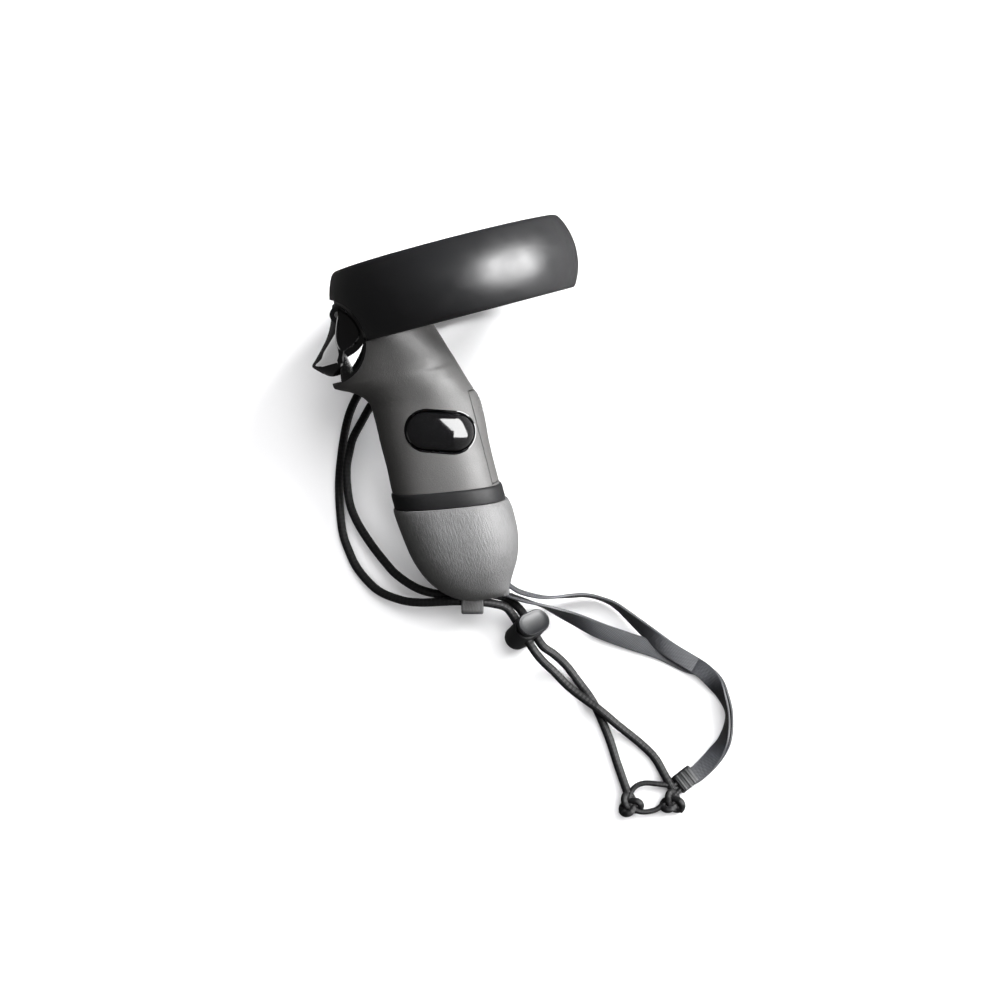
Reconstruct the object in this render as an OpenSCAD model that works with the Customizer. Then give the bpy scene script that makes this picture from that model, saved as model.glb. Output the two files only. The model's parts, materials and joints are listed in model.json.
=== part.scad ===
/* [Lying pose] */
// roll of the resting controller about the row X axis
lie_angle = 16.35; // [0:0.1:30]
// lean of the tracking ring's axis from the row Y direction
ring_lean = 14.5; // [0:0.5:30]

/* [Tracking ring] */
// largest outer radius of the ring
ring_radius = 45.9; // [40:0.1:55]
// height of the ring along its axis
ring_height = 26.8; // [15:0.1:40]
// distance of the ring's axis behind the middle of the handle
ring_offset = 20.2; // [0:0.1:30]
// outward bulge of the ring's side
ring_bulge = 3.9; // [0:0.1:8]
// wall of the ring's two shells
ring_wall = 1.5; // [1:0.1:3]
// number of light points in the ring
led_count = 22; // [8:1:40]

/* [Handle] */
// wall of the handle shells
shell_wall = 2; // [1.2:0.1:4]
// plane behind which the battery cover closes the handle
cover_plane = 15.3; // [12:0.1:17]
// upper end of the battery cover
cover_top = -26; // [-30:0.5:-20]

/* [Trigger] */
// radius of the round trigger opening
trigger_opening = 15.2; // [12:0.1:20]
// width of the trigger
trigger_width = 26; // [18:0.5:32]
// radius of the trigger's pin
trigger_pin_radius = 1.2; // [0.8:0.1:2]

/* [Grip button] */
// length of the grip button's opening
grip_length = 25.9; // [18:0.1:32]
// width of the grip button's opening
grip_width = 15.9; // [10:0.1:20]
// turn of the grip button from the handle's cross line
grip_turn = 19; // [0:1:40]

/* [Face controls] */
// radius of the thumbstick's cap
stick_radius = 7.6; // [5:0.1:10]
// radius of the two face buttons
button_radius = 4.4; // [3:0.1:6]

/* [Battery] */
// radius of the battery
battery_radius = 7.1; // [6:0.1:8]
// length of the battery's can
battery_length = 49; // [40:0.5:52]

/* [Cords] */
// diameter of the elastic hand cord and its tails
cord_size = 3.2; // [2:0.1:5]
// diameter of the thin strap loop cord
loop_size = 2; // [1:0.1:3]
// width of the wrist band
band_width = 6.3; // [4:0.1:10]
// thickness of the wrist band
band_thick = 1.1; // [0.5:0.1:2]

/* [Show] */
// node to draw

/* [Hidden] */
$fn = 48;

// place of the handle's frame in the row frame
row_shift = [-2.3, 3.4, 0];
handle_origin = [-10.7, 24.2, 40];

// colours
body_grey = [0.42, 0.42, 0.43];
ring_black = [0.12, 0.12, 0.14];
gloss_black = [0.03, 0.03, 0.035];
cap_grey = [0.5, 0.5, 0.51];
cord_black = [0.07, 0.07, 0.08];
metal = [0.75, 0.75, 0.76];
board_green = [0.1, 0.3, 0.2];

// ---------- general shapes ----------
function sgn_pow(v, p) = v < 0 ? -pow(-v, p) : pow(v, p);

// point at angle t of a rounded section [z, front x, back x, half width, squareness, slope]
// drawn inwards by d
function section_point(s, t, d) =
  let (mid = (s[1] + s[2]) / 2, half = (s[2] - s[1]) / 2 - d, e = 2 / s[4])
  let (x = mid + half * sgn_pow(cos(t), e))
  [x, (s[3] - d) * sgn_pow(sin(t), e), s[0] + s[5] * x];

function whole_ring(s, n, d) = [for (i = [0 : n - 1]) section_point(s, i * 360 / n, d)];

// faces of a stack of closed rings
function loft_faces(rings, n) = concat(
  [[for (i = [0 : n - 1]) i]],
  [for (k = [0 : rings - 2]) for (i = [0 : n - 1])
    [k * n + i, (k + 1) * n + i, k * n + (i + 1) % n]],
  [for (k = [0 : rings - 2]) for (i = [0 : n - 1])
    [k * n + (i + 1) % n, (k + 1) * n + i, (k + 1) * n + (i + 1) % n]],
  [[for (i = [n - 1 : -1 : 0]) (rings - 1) * n + i]]
);

module loft(rings) {
  n = len(rings[0]);
  polyhedron(points = [for (r = rings) each r], faces = loft_faces(len(rings), n), convexity = 8);
}

// closed run of rings, the last joined to the first
module loop_loft(rings) {
  n = len(rings[0]);
  total = n * len(rings);
  sides = loft_faces(len(rings) + 1, n);
  polyhedron(points = [for (r = rings) each r],
    faces = [for (i = [1 : len(sides) - 2]) [for (p = sides[i]) p % total]], convexity = 8);
}

// ends of a wall that follows an arc out and back again
function strip_end(n, base) = [for (i = [0 : n / 2 - 2])
  each [[base + i, base + i + 1, base + n - 2 - i], [base + i, base + n - 2 - i, base + n - 1 - i]]];

module wall_loft(rings) {
  n = len(rings[0]);
  last = len(rings) - 1;
  sides = loft_faces(last + 1, n);
  polyhedron(points = [for (r = rings) each r],
    faces = concat(strip_end(n, 0), [for (i = [1 : len(sides) - 2]) sides[i]],
      [for (f = strip_end(n, last * n)) [f[2], f[1], f[0]]]), convexity = 8);
}

function unit(v) = v / norm(v);
function bend_point(a, b, c, d, t) = 0.5 * (2 * b + (c - a) * t
  + (2 * a - 5 * b + 4 * c - d) * t * t + (3 * b - a - 3 * c + d) * t * t * t);

// smooth line through the route points, with parts steps between two of them
function smooth_route(p, parts) =
  let (last = len(p) - 1)
  [for (i = [0 : last - 1]) for (k = [0 : parts - 1])
    bend_point(p[max(i - 1, 0)], p[i], p[i + 1], p[min(i + 2, last)], k / parts),
   p[last]];

function route_dir(p, i) = unit(p[min(i + 1, len(p) - 1)] - p[max(i - 1, 0)]);

// side direction carried along the route without twist
function carry(p, i, side) =
  i >= len(p) ? [] :
  let (d = route_dir(p, i), s = unit(side - (side * d) * d))
  concat([s], carry(p, i + 1, s));

function cord_ring(c, d, s, r, n) =
  let (u = cross(d, s))
  [for (i = [0 : n - 1]) c + r * (cos(i * 360 / n) * s + sin(i * 360 / n) * u)];

module cord(p, size, sides, side) {
  carried = carry(p, 0, side);
  loft([for (i = [0 : len(p) - 1]) cord_ring(p[i], route_dir(p, i), carried[i], size / 2, sides)]);
}

// flat band: each route point carries its own width direction
function band_ring(c, d, w, width, thick) =
  let (s = unit(w - (w * d) * d), u = cross(d, s))
  [c + width / 2 * s + thick / 2 * u, c - width / 2 * s + thick / 2 * u,
   c - width / 2 * s - thick / 2 * u, c + width / 2 * s - thick / 2 * u];

module band(p, w, width, thick) {
  loft([for (i = [0 : len(p) - 1]) band_ring(p[i], route_dir(p, i), w[i], width, thick)]);
}

function coil_path(r, pitch, turns, per) =
  [for (i = [0 : turns * per]) [r * cos(i * 360 / per), r * sin(i * 360 / per), i * pitch / per]];

module coil(r, wire, pitch, turns) {
  cord(coil_path(r, pitch, turns, 14), wire, 6, [1, 0, 0]);
}

module tube(outer, inner, h) {
  difference() {
    cylinder(r = outer, h = h);
    translate([0, 0, -1])
      cylinder(r = inner, h = h + 2);
  }
}

// flat oblong lying along X
module oblong(length, width, h) {
  straight = (length - width) / 2;
  union() {
    translate([-straight, -width / 2, 0])
      cube([2 * straight, width, h]);
    for (side = [-1, 1])
      translate([side * straight, 0, 0])
        cylinder(d = width, h = h);
  }
}

// puts a shape drawn in the handle's frame into the row frame
module placed() {
  translate(row_shift)
    translate(handle_origin)
      rotate([lie_angle, 0, 0])
        rotate([0, 0, ring_lean])
          rotate([-90, 0, 0])
            children();
}

// puts a shape drawn in row directions into the row frame
module laid() {
  translate(row_shift)
    children();
}

// puts a shape drawn in row directions into the handle's frame
module laid_in_handle() {
  rotate([90, 0, 0])
    rotate([0, 0, -ring_lean])
      rotate([-lie_angle, 0, 0])
        translate(-handle_origin)
          children();
}

// ---------- handle ----------
// height, front, back, half width, squareness, slope
shell_sections = [
  [-88.2, -9, 7.6, 6, 2.3, 0],
  [-87.6, -12.4, 10.8, 9.2, 2.3, 0],
  [-86, -16, 14, 12.4, 2.4, 0],
  [-82, -18.3, 16.2, 14.2, 2.4, 0],
  [-76, -19.9, 17.2, 14.8, 2.5, 0],
  [-69, -21, 17.5, 15.3, 2.6, 0],
  [-61.2, -21.4, 17.7, 15.5, 2.6, 0],
  [-61.15, -21.4, 17.7, 15.5, 2.6, 0],
  [-54, -21.4, 17.7, 15.6, 2.6, 0],
  [-46, -21, 17.9, 15.7, 2.5, 0],
  [-38, -21, 18.5, 15.9, 2.5, 0],
  [-32, -20.8, 18.7, 16.2, 2.5, 0],
  [-29, -20.7, 18.3, 16.4, 2.5, 0],
  [-26.2, -20.7, 17.2, 16.7, 2.5, 0],
  [-26, -20.7, 17.1, 16.7, 2.5, 0],
  [-23, -20.8, 16.1, 17.4, 2.4, 0],
  [-20.5, -21.8, 15.3, 18.1, 2.4, 0],
  [-18, -24, 14.6, 18.9, 2.3, 0],
  [-16, -27, 14, 19.6, 2.3, 0],
  [-14.3, -30.6, 13.5, 20.3, 2.2, 0],
  [-13.2, -32.2, 13.2, 20.8, 2.2, 0],
  [-11.5, -32.3, 12.6, 21.6, 2.2, 0],
  [-9, -31.4, 11.8, 22.8, 2.2, 0],
  [-5, -29.4, 10.6, 24.5, 2.2, 0],
  [-2, -27.4, 9.6, 25.5, 2.2, 0],
  [0.4, -26, 8.9, 26, 2.2, 0]
];
arc_steps = 20;
cover_low = -61.1;

// angle at which the section, drawn inwards by d, reaches the cover's plane
function plane_angle(s, x, d) =
  let (mid = (s[1] + s[2]) / 2, half = (s[2] - s[1]) / 2 - d)
  acos(pow(min(1, (x - mid) / half), s[4] / 2));

function arc_points(s, from, to, d, side) =
  [for (i = [0 : arc_steps])
    let (p = section_point(s, from + (to - from) * i / arc_steps, d)) [p[0], side * p[1], p[2]]];

function half_ring(s, side) =
  let (open = s[0] > cover_low - 0.1 && s[0] < cover_top - 0.1)
  let (stop_out = open ? plane_angle(s, cover_plane, 0) : 0)
  let (stop_in = open ? plane_angle(s, cover_plane, shell_wall) : 0)
  let (ring = concat(arc_points(s, 180, stop_out, 0, side),
    arc_points(s, stop_in, 180, shell_wall, side)))
  side < 0 ? ring : [for (i = [len(ring) - 1 : -1 : 0]) ring[i]];

module handle_half(side) {
  wall_loft([for (s = shell_sections) half_ring(s, side)]);
}

// round opening that the trigger stands in
opening_at = [-29.3, 0, 3.4];

module trigger_opening_cut(radius, half) {
  translate([opening_at[0], -half, opening_at[2]])
    rotate([-90, 0, 0])
      cylinder(r = radius, h = 2 * half, $fn = 96);
}

// grip button's own frame: X along the button, Z outwards
grip_at = [2.1, 0, -37.4];

module grip_frame(level) {
  translate([grip_at[0], -level, grip_at[2]])
    rotate([90, 0, 0])
      rotate([0, 0, -grip_turn])
        children();
}

// x, z, boss depth and head seat of each housing screw
screw_spots = [[-15.5, -52, 10.3, 11.2], [5, -5.5, 13.8, 15.6], [-15.5, -20.5, 11.8, 13]];
screw_radius = 1.1;
boss_radius = 2.6;

module screw_bosses() {
  for (s = screw_spots)
    translate([s[0], -s[2], s[1]])
      rotate([-90, 0, 0])
        cylinder(r = boss_radius, h = s[2] - 0.05);
}

module handle_shell_left() {
  color(body_grey)
    difference() {
      union() {
        handle_half(-1);
        screw_bosses();
      }
      trigger_opening_cut(trigger_opening, 40);
      grip_frame(8)
        oblong(grip_length, grip_width, 12);
      for (s = screw_spots)
        translate([s[0], -s[2] + 1.5, s[1]])
          rotate([-90, 0, 0])
            cylinder(r = screw_radius, h = 20);
    }
}

module handle_shell_right() {
  color(body_grey)
    difference() {
      union() {
        handle_half(1);
        mirror([0, 1, 0])
          screw_bosses();
      }
      trigger_opening_cut(trigger_opening, 40);
      for (s = screw_spots)
        translate([s[0], -1, s[1]])
          rotate([-90, 0, 0])
            cylinder(r = screw_radius + 0.1, h = 30);
      for (s = screw_spots)
        translate([s[0], s[3], s[1]])
          rotate([-90, 0, 0])
            cylinder(r = 2.3, h = 12);
    }
}

module housing_screws() {
  color(metal)
    for (s = screw_spots)
      translate([s[0], s[3] + 1.2, s[1]])
        rotate([90, 0, 0])
          difference() {
            union() {
              cylinder(r = 2.1, h = 1.2);
              cylinder(r = screw_radius, h = s[3] + 8);
            }
            translate([0, 0, -1])
              cylinder(r = 1, h = 1.8, $fn = 6);
          }
}

// ---------- battery cover ----------
cover_gap = 0.15;
cover_sections = [
  [-60.9, -21.4, 17.7, 15.5, 2.6, 0],
  [-54, -21.4, 17.7, 15.6, 2.6, 0],
  [-46, -21, 17.9, 15.7, 2.5, 0],
  [-38, -21, 18.5, 15.9, 2.5, 0],
  [-32, -20.8, 18.7, 16.2, 2.5, 0],
  [-29, -20.7, 18.3, 16.4, 2.5, 0],
  [-26.4, -20.7, 17.3, 16.7, 2.5, 0]
];

function cover_ring(s) =
  let (x = cover_plane + cover_gap)
  let (out = plane_angle(s, x, 0), in = plane_angle(s, x, 1.4))
  concat(arc_points(s, -out, out, 0, 1), arc_points(s, in, -in, 1.4, 1));

module battery_cover() {
  color(body_grey)
    wall_loft([for (s = cover_sections) cover_ring(s)]);
}

module cover_magnets() {
  color(metal)
    for (at = [[15.1, -56], [16, -34]])
      translate([at[0], 0, at[1]])
        rotate([0, 90, 0])
          cylinder(r = 1.4, h = 1.3);
}

// ---------- tracking ring ----------
ring_low = 0.4;
ring_top = ring_low + ring_height;
ring_mid = (ring_low + ring_top) / 2;
side_curve = (ring_height * ring_height / 4 + ring_bulge * ring_bulge) / (2 * ring_bulge);
inner_radius = 38.8;
lip = 1.3;

// radius of the ring's side at height z, drawn inwards by d
function side_radius(z, d) =
  ring_radius - side_curve + sqrt(pow(side_curve - d, 2) - pow(z - ring_mid, 2));

function side_points(from, to, steps, d) =
  [for (i = [0 : steps]) let (z = from + (to - from) * i / steps) [side_radius(z, d), z]];

module around_ring() {
  translate([ring_offset, 0, 0])
    children();
}

module ring_outer_shell() {
  color(ring_black)
    difference() {
      around_ring()
        rotate_extrude($fn = 120)
          polygon(concat(
            side_points(ring_low + 0.4, ring_top - 0.4, 12, 0),
            [[side_radius(ring_top, 0) - 0.4, ring_top], [inner_radius + 0.3, ring_top],
             [inner_radius, ring_top - 0.3], [inner_radius, ring_top - lip]],
            side_points(ring_top - lip, ring_low + lip, 8, ring_wall),
            [[inner_radius, ring_low + lip], [inner_radius, ring_low + 0.3],
             [inner_radius + 0.3, ring_low], [side_radius(ring_low, 0) - 0.4, ring_low]]));
      trigger_opening_cut(trigger_opening, 50);
    }
}

module ring_inner_shell() {
  color(ring_black)
    difference() {
      around_ring()
        translate([0, 0, ring_low + lip])
          tube(inner_radius + 1.4, inner_radius, ring_height - 2 * lip);
      trigger_opening_cut(trigger_opening, 50);
    }
}

flex_radius = inner_radius + 1.43;
front_gap = 36;

module ring_flex() {
  color([0.55, 0.35, 0.1])
    around_ring()
      rotate([0, 0, 180 + front_gap])
        rotate_extrude(angle = 360 - 2 * front_gap, $fn = 120)
          translate([flex_radius, 7])
            square([0.4, 13]);
}

module ring_leds() {
  color([0.9, 0.9, 0.85])
    around_ring()
      for (i = [0 : led_count - 1])
        rotate([0, 0, 180 + front_gap + 4 + i * (352 - 2 * front_gap) / (led_count - 1)])
          translate([flex_radius + 0.4, 0, 10 + 7 * (i % 2)])
            rotate([0, 90, 0])
              cylinder(r = 1.1, h = 0.9, $fn = 24);
}

// ---------- face ----------
top_section = shell_sections[len(shell_sections) - 1];
face_level = 7;
plate_thick = 2;

// outline of the face, drawn inwards by d
module face_block(d, z, h) {
  intersection() {
    translate([0, 0, z])
      linear_extrude(h)
        polygon([for (p = whole_ring(top_section, 72, d)) [p[0], p[1]]]);
    around_ring()
      translate([0, 0, z - 1])
        cylinder(r = inner_radius - max(0, d - 0.8), h = h + 2, $fn = 120);
  }
}

// room for the trigger opening's rims on both sides
module rim_room() {
  for (side = [-1, 1])
    translate([0, side * 34.2, 0])
      trigger_opening_cut(trigger_opening + 0.1, 20);
}

module face_housing() {
  color(ring_black)
    difference() {
      face_block(0.8, ring_low, face_level - ring_low);
      face_block(2, ring_low - 1, face_level - ring_low + 2);
      rim_room();
    }
}

stick_at = [-4, -12.5];
button_a_at = [0.5, 9];
button_b_at = [-10.5, 6.5];
system_at = [3.2, -1];
system_radius = 2.2;
rest_at = [-5, 18.8];
button_gap = 0.1;
board_top = 2.5;

module face_plate() {
  color(ring_black)
    difference() {
      union() {
        face_block(0.8, face_level, plate_thick);
        for (p = [[-4, -21.6], [1.5, 16.5], [-11.5, 14.5]])
          translate([p[0], p[1], board_top])
            cylinder(r = 1.4, h = face_level - board_top + 0.5, $fn = 32);
      }
      rim_room();
      translate([stick_at[0], stick_at[1], face_level - 1])
        cylinder(r = 6, h = 4);
      for (p = [button_a_at, button_b_at])
        translate([p[0], p[1], face_level - 1])
          cylinder(r = button_radius + button_gap, h = 4);
      translate([system_at[0], system_at[1], face_level - 1])
        cylinder(r = system_radius + button_gap, h = 4);
    }
}

module thumb_rest() {
  color(gloss_black)
    translate([rest_at[0], rest_at[1], face_level + plate_thick])
      difference() {
        oblong(12.5, 6.8, 0.7);
        translate([0, 0, 0.4])
          oblong(11, 5.4, 1);
      }
}

module push_button(at, r, top) {
  color(gloss_black)
    translate([at[0], at[1], 0])
      rotate_extrude()
        polygon([[0, 4.6], [1.3, 4.6], [1.3, 5.6], [r + 0.8, 5.6], [r + 0.8, 6.6],
          [r, 6.6], [r, top - 0.5], [r - 0.5, top], [0, top + 0.15]]);
}

module button_a() {
  push_button(button_a_at, button_radius, 10.4);
}

module button_b() {
  push_button(button_b_at, button_radius, 10.4);
}

module system_button() {
  push_button(system_at, system_radius, 9.5);
}

// ---------- thumbstick ----------
stick_level = 5;
fit = 0.05;

module at_stick() {
  translate([stick_at[0], stick_at[1], stick_level])
    children();
}

module stick_housing() {
  color(metal)
    at_stick()
      difference() {
        translate([0, 0, board_top - stick_level])
          intersection() {
            translate([-6.5, -6.5, 0])
              cube([13, 13, 4.4]);
            cylinder(r = 8.1, h = 4.4);
          }
        translate([-4.8, -4.8, board_top - stick_level - 1])
          cube([9.6, 9.6, 7]);
        translate([-8, 0, 0])
          rotate([0, 90, 0])
            cylinder(r = 0.7 + fit, h = 16);
      }
}

module stick_yoke() {
  color(cap_grey)
    at_stick()
      difference() {
        union() {
          translate([-4, -4, -0.8])
            cube([8, 8, 1.6]);
          translate([-5.8, 0, 0])
            rotate([0, 90, 0])
              cylinder(r = 0.7, h = 11.6);
        }
        translate([-2.8, -2.8, -2])
          cube([5.6, 5.6, 4]);
        translate([0, -6, 0])
          rotate([-90, 0, 0])
            cylinder(r = 0.5 + fit, h = 12);
      }
}

module stick_gimbal() {
  color(metal)
    at_stick()
      difference() {
        union() {
          translate([0, 0, -0.8])
            cylinder(r = 2.3, h = 1.6);
          translate([0, -3.6, 0])
            rotate([-90, 0, 0])
              cylinder(r = 0.5, h = 7.2);
        }
        translate([0, 0, -2])
          cylinder(r = 1.2 + fit, h = 4);
      }
}

module stick_shaft() {
  color(metal)
    at_stick()
      rotate_extrude()
        polygon([[0, -0.8], [1.2, -0.8], [1.2, 1.5], [1.9, 1.5], [1.9, 2.4],
          [1.4, 2.8], [1.4, 10.4], [0, 10.4]]);
}

module stick_cap() {
  color(gloss_black)
    at_stick()
      difference() {
        rotate_extrude($fn = 72)
          polygon([[0, 9], [5.4, 9], [7, 9.9], [stick_radius, 11], [stick_radius, 12],
            [stick_radius - 0.6, 12.7], [stick_radius - 1.6, 12.7], [4.2, 12], [0, 11.7]]);
        translate([0, 0, 8])
          cylinder(r = 1.4, h = 2.4);
      }
}

// ---------- board and motor ----------
module main_board() {
  color(board_green)
    face_block(3, board_top - 1, 1);
}

module board_switches() {
  color(metal)
    for (p = [button_a_at, button_b_at, system_at])
      translate([p[0], p[1], board_top])
        cylinder(r1 = 2.2, r2 = 1.6, h = 0.9);
}

motor_at = [-12, 0, -30];

module haptic_motor() {
  color(metal)
    translate([motor_at[0], -7, motor_at[2]])
      rotate([-90, 0, 0]) {
        cylinder(r = 5, h = 14);
        translate([0, 0, -0.8])
          cylinder(r = 1.5, h = 15.6);
      }
}

// ---------- battery ----------
battery_at = [4, 0];
can_low = -61.5;
can_top = can_low + battery_length;
tray_wall = 1.2;
tray_top = can_top + 2.8;

module battery() {
  color([0.15, 0.2, 0.22])
    translate([battery_at[0], battery_at[1], can_low])
      rotate_extrude()
        polygon([[0, 0], [battery_radius - 0.6, 0], [battery_radius, 0.6],
          [battery_radius, battery_length - 0.6], [battery_radius - 0.6, battery_length],
          [2.7, battery_length], [2.7, battery_length + 1], [0, battery_length + 1]]);
}

module battery_tray() {
  color(ring_black)
    union() {
      difference() {
        translate([battery_at[0], battery_at[1], 0])
          rotate_extrude(angle = 180)
            translate([battery_radius + 0.2, -65])
              square([tray_wall, 65 + tray_top]);
        translate([battery_at[0] + 2.9, -1, -20])
          cube([12, 20, 20]);
      }
      translate([battery_at[0], battery_at[1], -65])
        cylinder(r = battery_radius + 1.4, h = 1.4);
      translate([battery_at[0], battery_at[1], tray_top - tray_wall])
        cylinder(r = 5.4, h = tray_wall);
      translate([battery_at[0] - battery_radius - 1.2, 0, tray_top - tray_wall])
        cube([battery_radius, 3, tray_wall]);
      for (z = [-60, -41, -22])
        translate([0, 8, z])
          cube([8, 5.9, 2]);
      translate([motor_at[0] + 5.1, 0, motor_at[2] - 3])
        cube([3, 4, 6]);
      translate([12.9, -3.9, -41.2])
        rotate([-90, 0, 0])
          cylinder(r = 1.5, h = 6);
    }
}

module contact_positive() {
  color(metal)
    translate([battery_at[0], battery_at[1], can_top + 1])
      cylinder(r = 4.5, h = 0.6);
}

module contact_spring() {
  color(metal)
    translate([battery_at[0], battery_at[1], -63.3])
      coil(3.2, 0.6, 0.7, 2);
}

// ---------- trigger ----------
trigger_pivot = [-22.5, 0, 12];

module across(from, to) {
  translate([0, from, 0])
    rotate([-90, 0, 0])
      linear_extrude(to - from)
        children();
}

module at_pivot() {
  translate(trigger_pivot)
    children();
}

trigger_side = [
  [-24.8, 16.4], [-25.6, 13.6], [-26.8, 10.6], [-28.2, 7.6], [-30.2, 4.6],
  [-33, 1.6], [-35.4, -0.9], [-37.4, -3.2], [-37, -4.3], [-34.6, -6.6],
  [-31.6, -8.9], [-24.6, -8.2], [-23.3, -5], [-22.2, 0], [-20.8, 5],
  [-20, 8.4], [-19.8, 12], [-20.8, 14.6], [-22.8, 16.4]
];

module trigger() {
  color(gloss_black)
    difference() {
      across(-trigger_width / 2, trigger_width / 2)
        polygon([for (p = trigger_side) [p[0], -p[1]]]);
      at_pivot()
        translate([0, -20, 0])
          rotate([-90, 0, 0])
            cylinder(r = trigger_pin_radius + fit, h = 40);
    }
}

module trigger_pin() {
  color(metal)
    at_pivot()
      translate([0, -15.8, 0])
        rotate([-90, 0, 0])
          cylinder(r = trigger_pin_radius, h = 31.6);
}

module trigger_spring() {
  color(metal)
    at_pivot()
      translate([0, 13.3, 0])
        rotate([-90, 0, 0])
          coil(2, 0.35, 0.36, 2);
}

// the head's own outside, drawn inwards by d
module head_core(d) {
  union() {
    around_ring()
      rotate_extrude($fn = 120)
        polygon(concat([[0, ring_low]], side_points(ring_low, ring_top, 12, d), [[0, ring_top]]));
    loft([for (s = shell_sections) if (s[0] > -17) whole_ring(s, 72, d)]);
  }
}

// black rim inside the opening, with a cheek that holds the pin on each side
module trigger_bezel() {
  color(gloss_black)
    difference() {
      intersection() {
        union() {
          difference() {
            trigger_opening_cut(trigger_opening - 0.03, 26);
            trigger_opening_cut(trigger_opening - 0.9, 27);
          }
          for (side = [-1, 1])
            translate([0, side * 15.05, 0])
              trigger_opening_cut(trigger_opening - 0.5, 0.75);
        }
        head_core(0.5);
        translate([-25.4, -30, -9])
          cube([14, 60, 26]);
      }
      translate([-30, -14.3, -20])
        cube([20, 28.6, 50]);
      at_pivot()
        translate([0, -20, 0])
          rotate([-90, 0, 0])
            cylinder(r = trigger_pin_radius, h = 40);
    }
}

// ---------- grip button ----------
grip_pivot = [-13.2, 9.4];

// the handle's own outside around the button, drawn outwards by d
module handle_core(d) {
  loft([for (s = shell_sections) if (s[0] > -60.5 && s[0] < -17) whole_ring(s, 72, -d)]);
}

// steps of the button's crown: inset from its opening, height above the handle
crown_steps = [[0.8, 0.1], [1.3, 0.45], [2.2, 0.7]];
button_foot = 9.3;

module grip_button() {
  color(gloss_black)
    difference() {
      union() {
        for (c = crown_steps)
          intersection() {
            grip_frame(button_foot)
              oblong(grip_length - 2 * c[0], grip_width - 2 * c[0], 9);
            handle_core(c[1]);
          }
        grip_frame(button_foot)
          translate([grip_pivot[0], -5, 0])
            cube([4, 10, 1]);
        grip_frame(grip_pivot[1])
          translate([grip_pivot[0], 5, 0])
            rotate([90, 0, 0])
              cylinder(r = 1.7, h = 10);
      }
      grip_frame(grip_pivot[1])
        translate([grip_pivot[0], 10, 0])
          rotate([90, 0, 0])
            cylinder(r = 1 + fit, h = 20);
    }
}

module grip_pin() {
  color(metal)
    grip_frame(grip_pivot[1])
      translate([grip_pivot[0], 7.4, 0])
        rotate([90, 0, 0])
          cylinder(r = 1, h = 14.8);
}

module grip_bezel() {
  color(gloss_black)
    difference() {
      union() {
        intersection() {
          difference() {
            grip_frame(10.4)
              oblong(grip_length - 0.06, grip_width - 0.06, 7);
            grip_frame(10)
              oblong(grip_length - 1, grip_width - 1, 8);
          }
          handle_core(0);
        }
        for (side = [-1, 1])
          grip_frame(8)
            translate([grip_pivot[0] - 1.4, side * 6.65 - 0.75, 0]) {
              cube([5, 1.5, 2.4]);
              translate([3.6, 0, 0])
                cube([1.4, 1.5, 4]);
            }
      }
      grip_frame(grip_pivot[1])
        translate([grip_pivot[0], 10, 0])
          rotate([90, 0, 0]) {
            cylinder(r = 1, h = 20);
            translate([0, 0, 4.6])
              cylinder(r = 2, h = 10.8);
          }
    }
}

module grip_spring() {
  color(metal)
    grip_frame(4.15)
      translate([11.1, 0, 0])
        coil(1.3, 0.4, 1.2, 4);
}

// ---------- cap over the handle's end ----------
// height, front, back, half width, squareness, slope
cap_outside = [
  [-102.2, -5.6, 10, 5.5, 2.2, -0.1],
  [-101.2, -8, 11, 7.6, 2.2, -0.1],
  [-99.6, -10.8, 11.8, 9.8, 2.3, -0.11],
  [-97, -14, 12.8, 12.2, 2.3, -0.12],
  [-93.5, -16.8, 14.6, 14.3, 2.4, -0.13],
  [-89, -19.2, 16.9, 16.2, 2.4, -0.14],
  [-83, -21, 18.9, 17.5, 2.5, -0.15],
  [-76, -22, 20, 18, 2.5, -0.16],
  [-70, -22.6, 20.1, 17.9, 2.5, -0.16],
  [-66.4, -22.8, 19.6, 17.5, 2.5, -0.16],
  [-65.4, -22.6, 19.2, 17.2, 2.5, -0.16]
];
cap_inside = [
  [-65.4, -21.6, 18, 15.75, 2.6, -0.16],
  [-70, -21.5, 17.9, 15.7, 2.6, -0.16],
  [-76, -20.6, 18, 15.6, 2.5, -0.16],
  [-83, -19.2, 17, 15.4, 2.5, -0.15],
  [-89, -17.2, 15, 14.2, 2.4, -0.14],
  [-93.5, -14.6, 12.6, 12.2, 2.4, -0.13],
  [-96.6, -10.6, 10, 9.4, 2.3, -0.12]
];
cap_sides = 72;
lug_at = [-3.6, 0, -100.8];
lug_bore = cord_size / 2 + 0.3;
// side and height of the lug's two cord bores
lug_bores = [[-1.9, -1.5], [2, 0.8]];
lug_depth = 8.8;
pin_spot = [9.4, -101.2];

module lug_frame() {
  translate(lug_at)
    rotate([0, ring_lean, 0])
      children();
}

// room round the cords where they run through and along the cap
module cord_ways() {
  line = smooth_route(hand_route, 2);
  last = len(line) - 1;
  tail_a = smooth_route(tail_a_route, 2);
  tail_b = smooth_route(tail_b_route, 2);
  ways = [
    [for (i = [0 : 8]) line[i]], [for (i = [last - 8 : last]) line[i]],
    [for (i = [0 : 8]) tail_a[i]], [for (i = [0 : 8]) tail_b[i]]
  ];
  laid_in_handle()
    for (w = ways)
      cord(w, cord_size + 0.8, 12, [0, 0, 1]);
}

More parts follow.
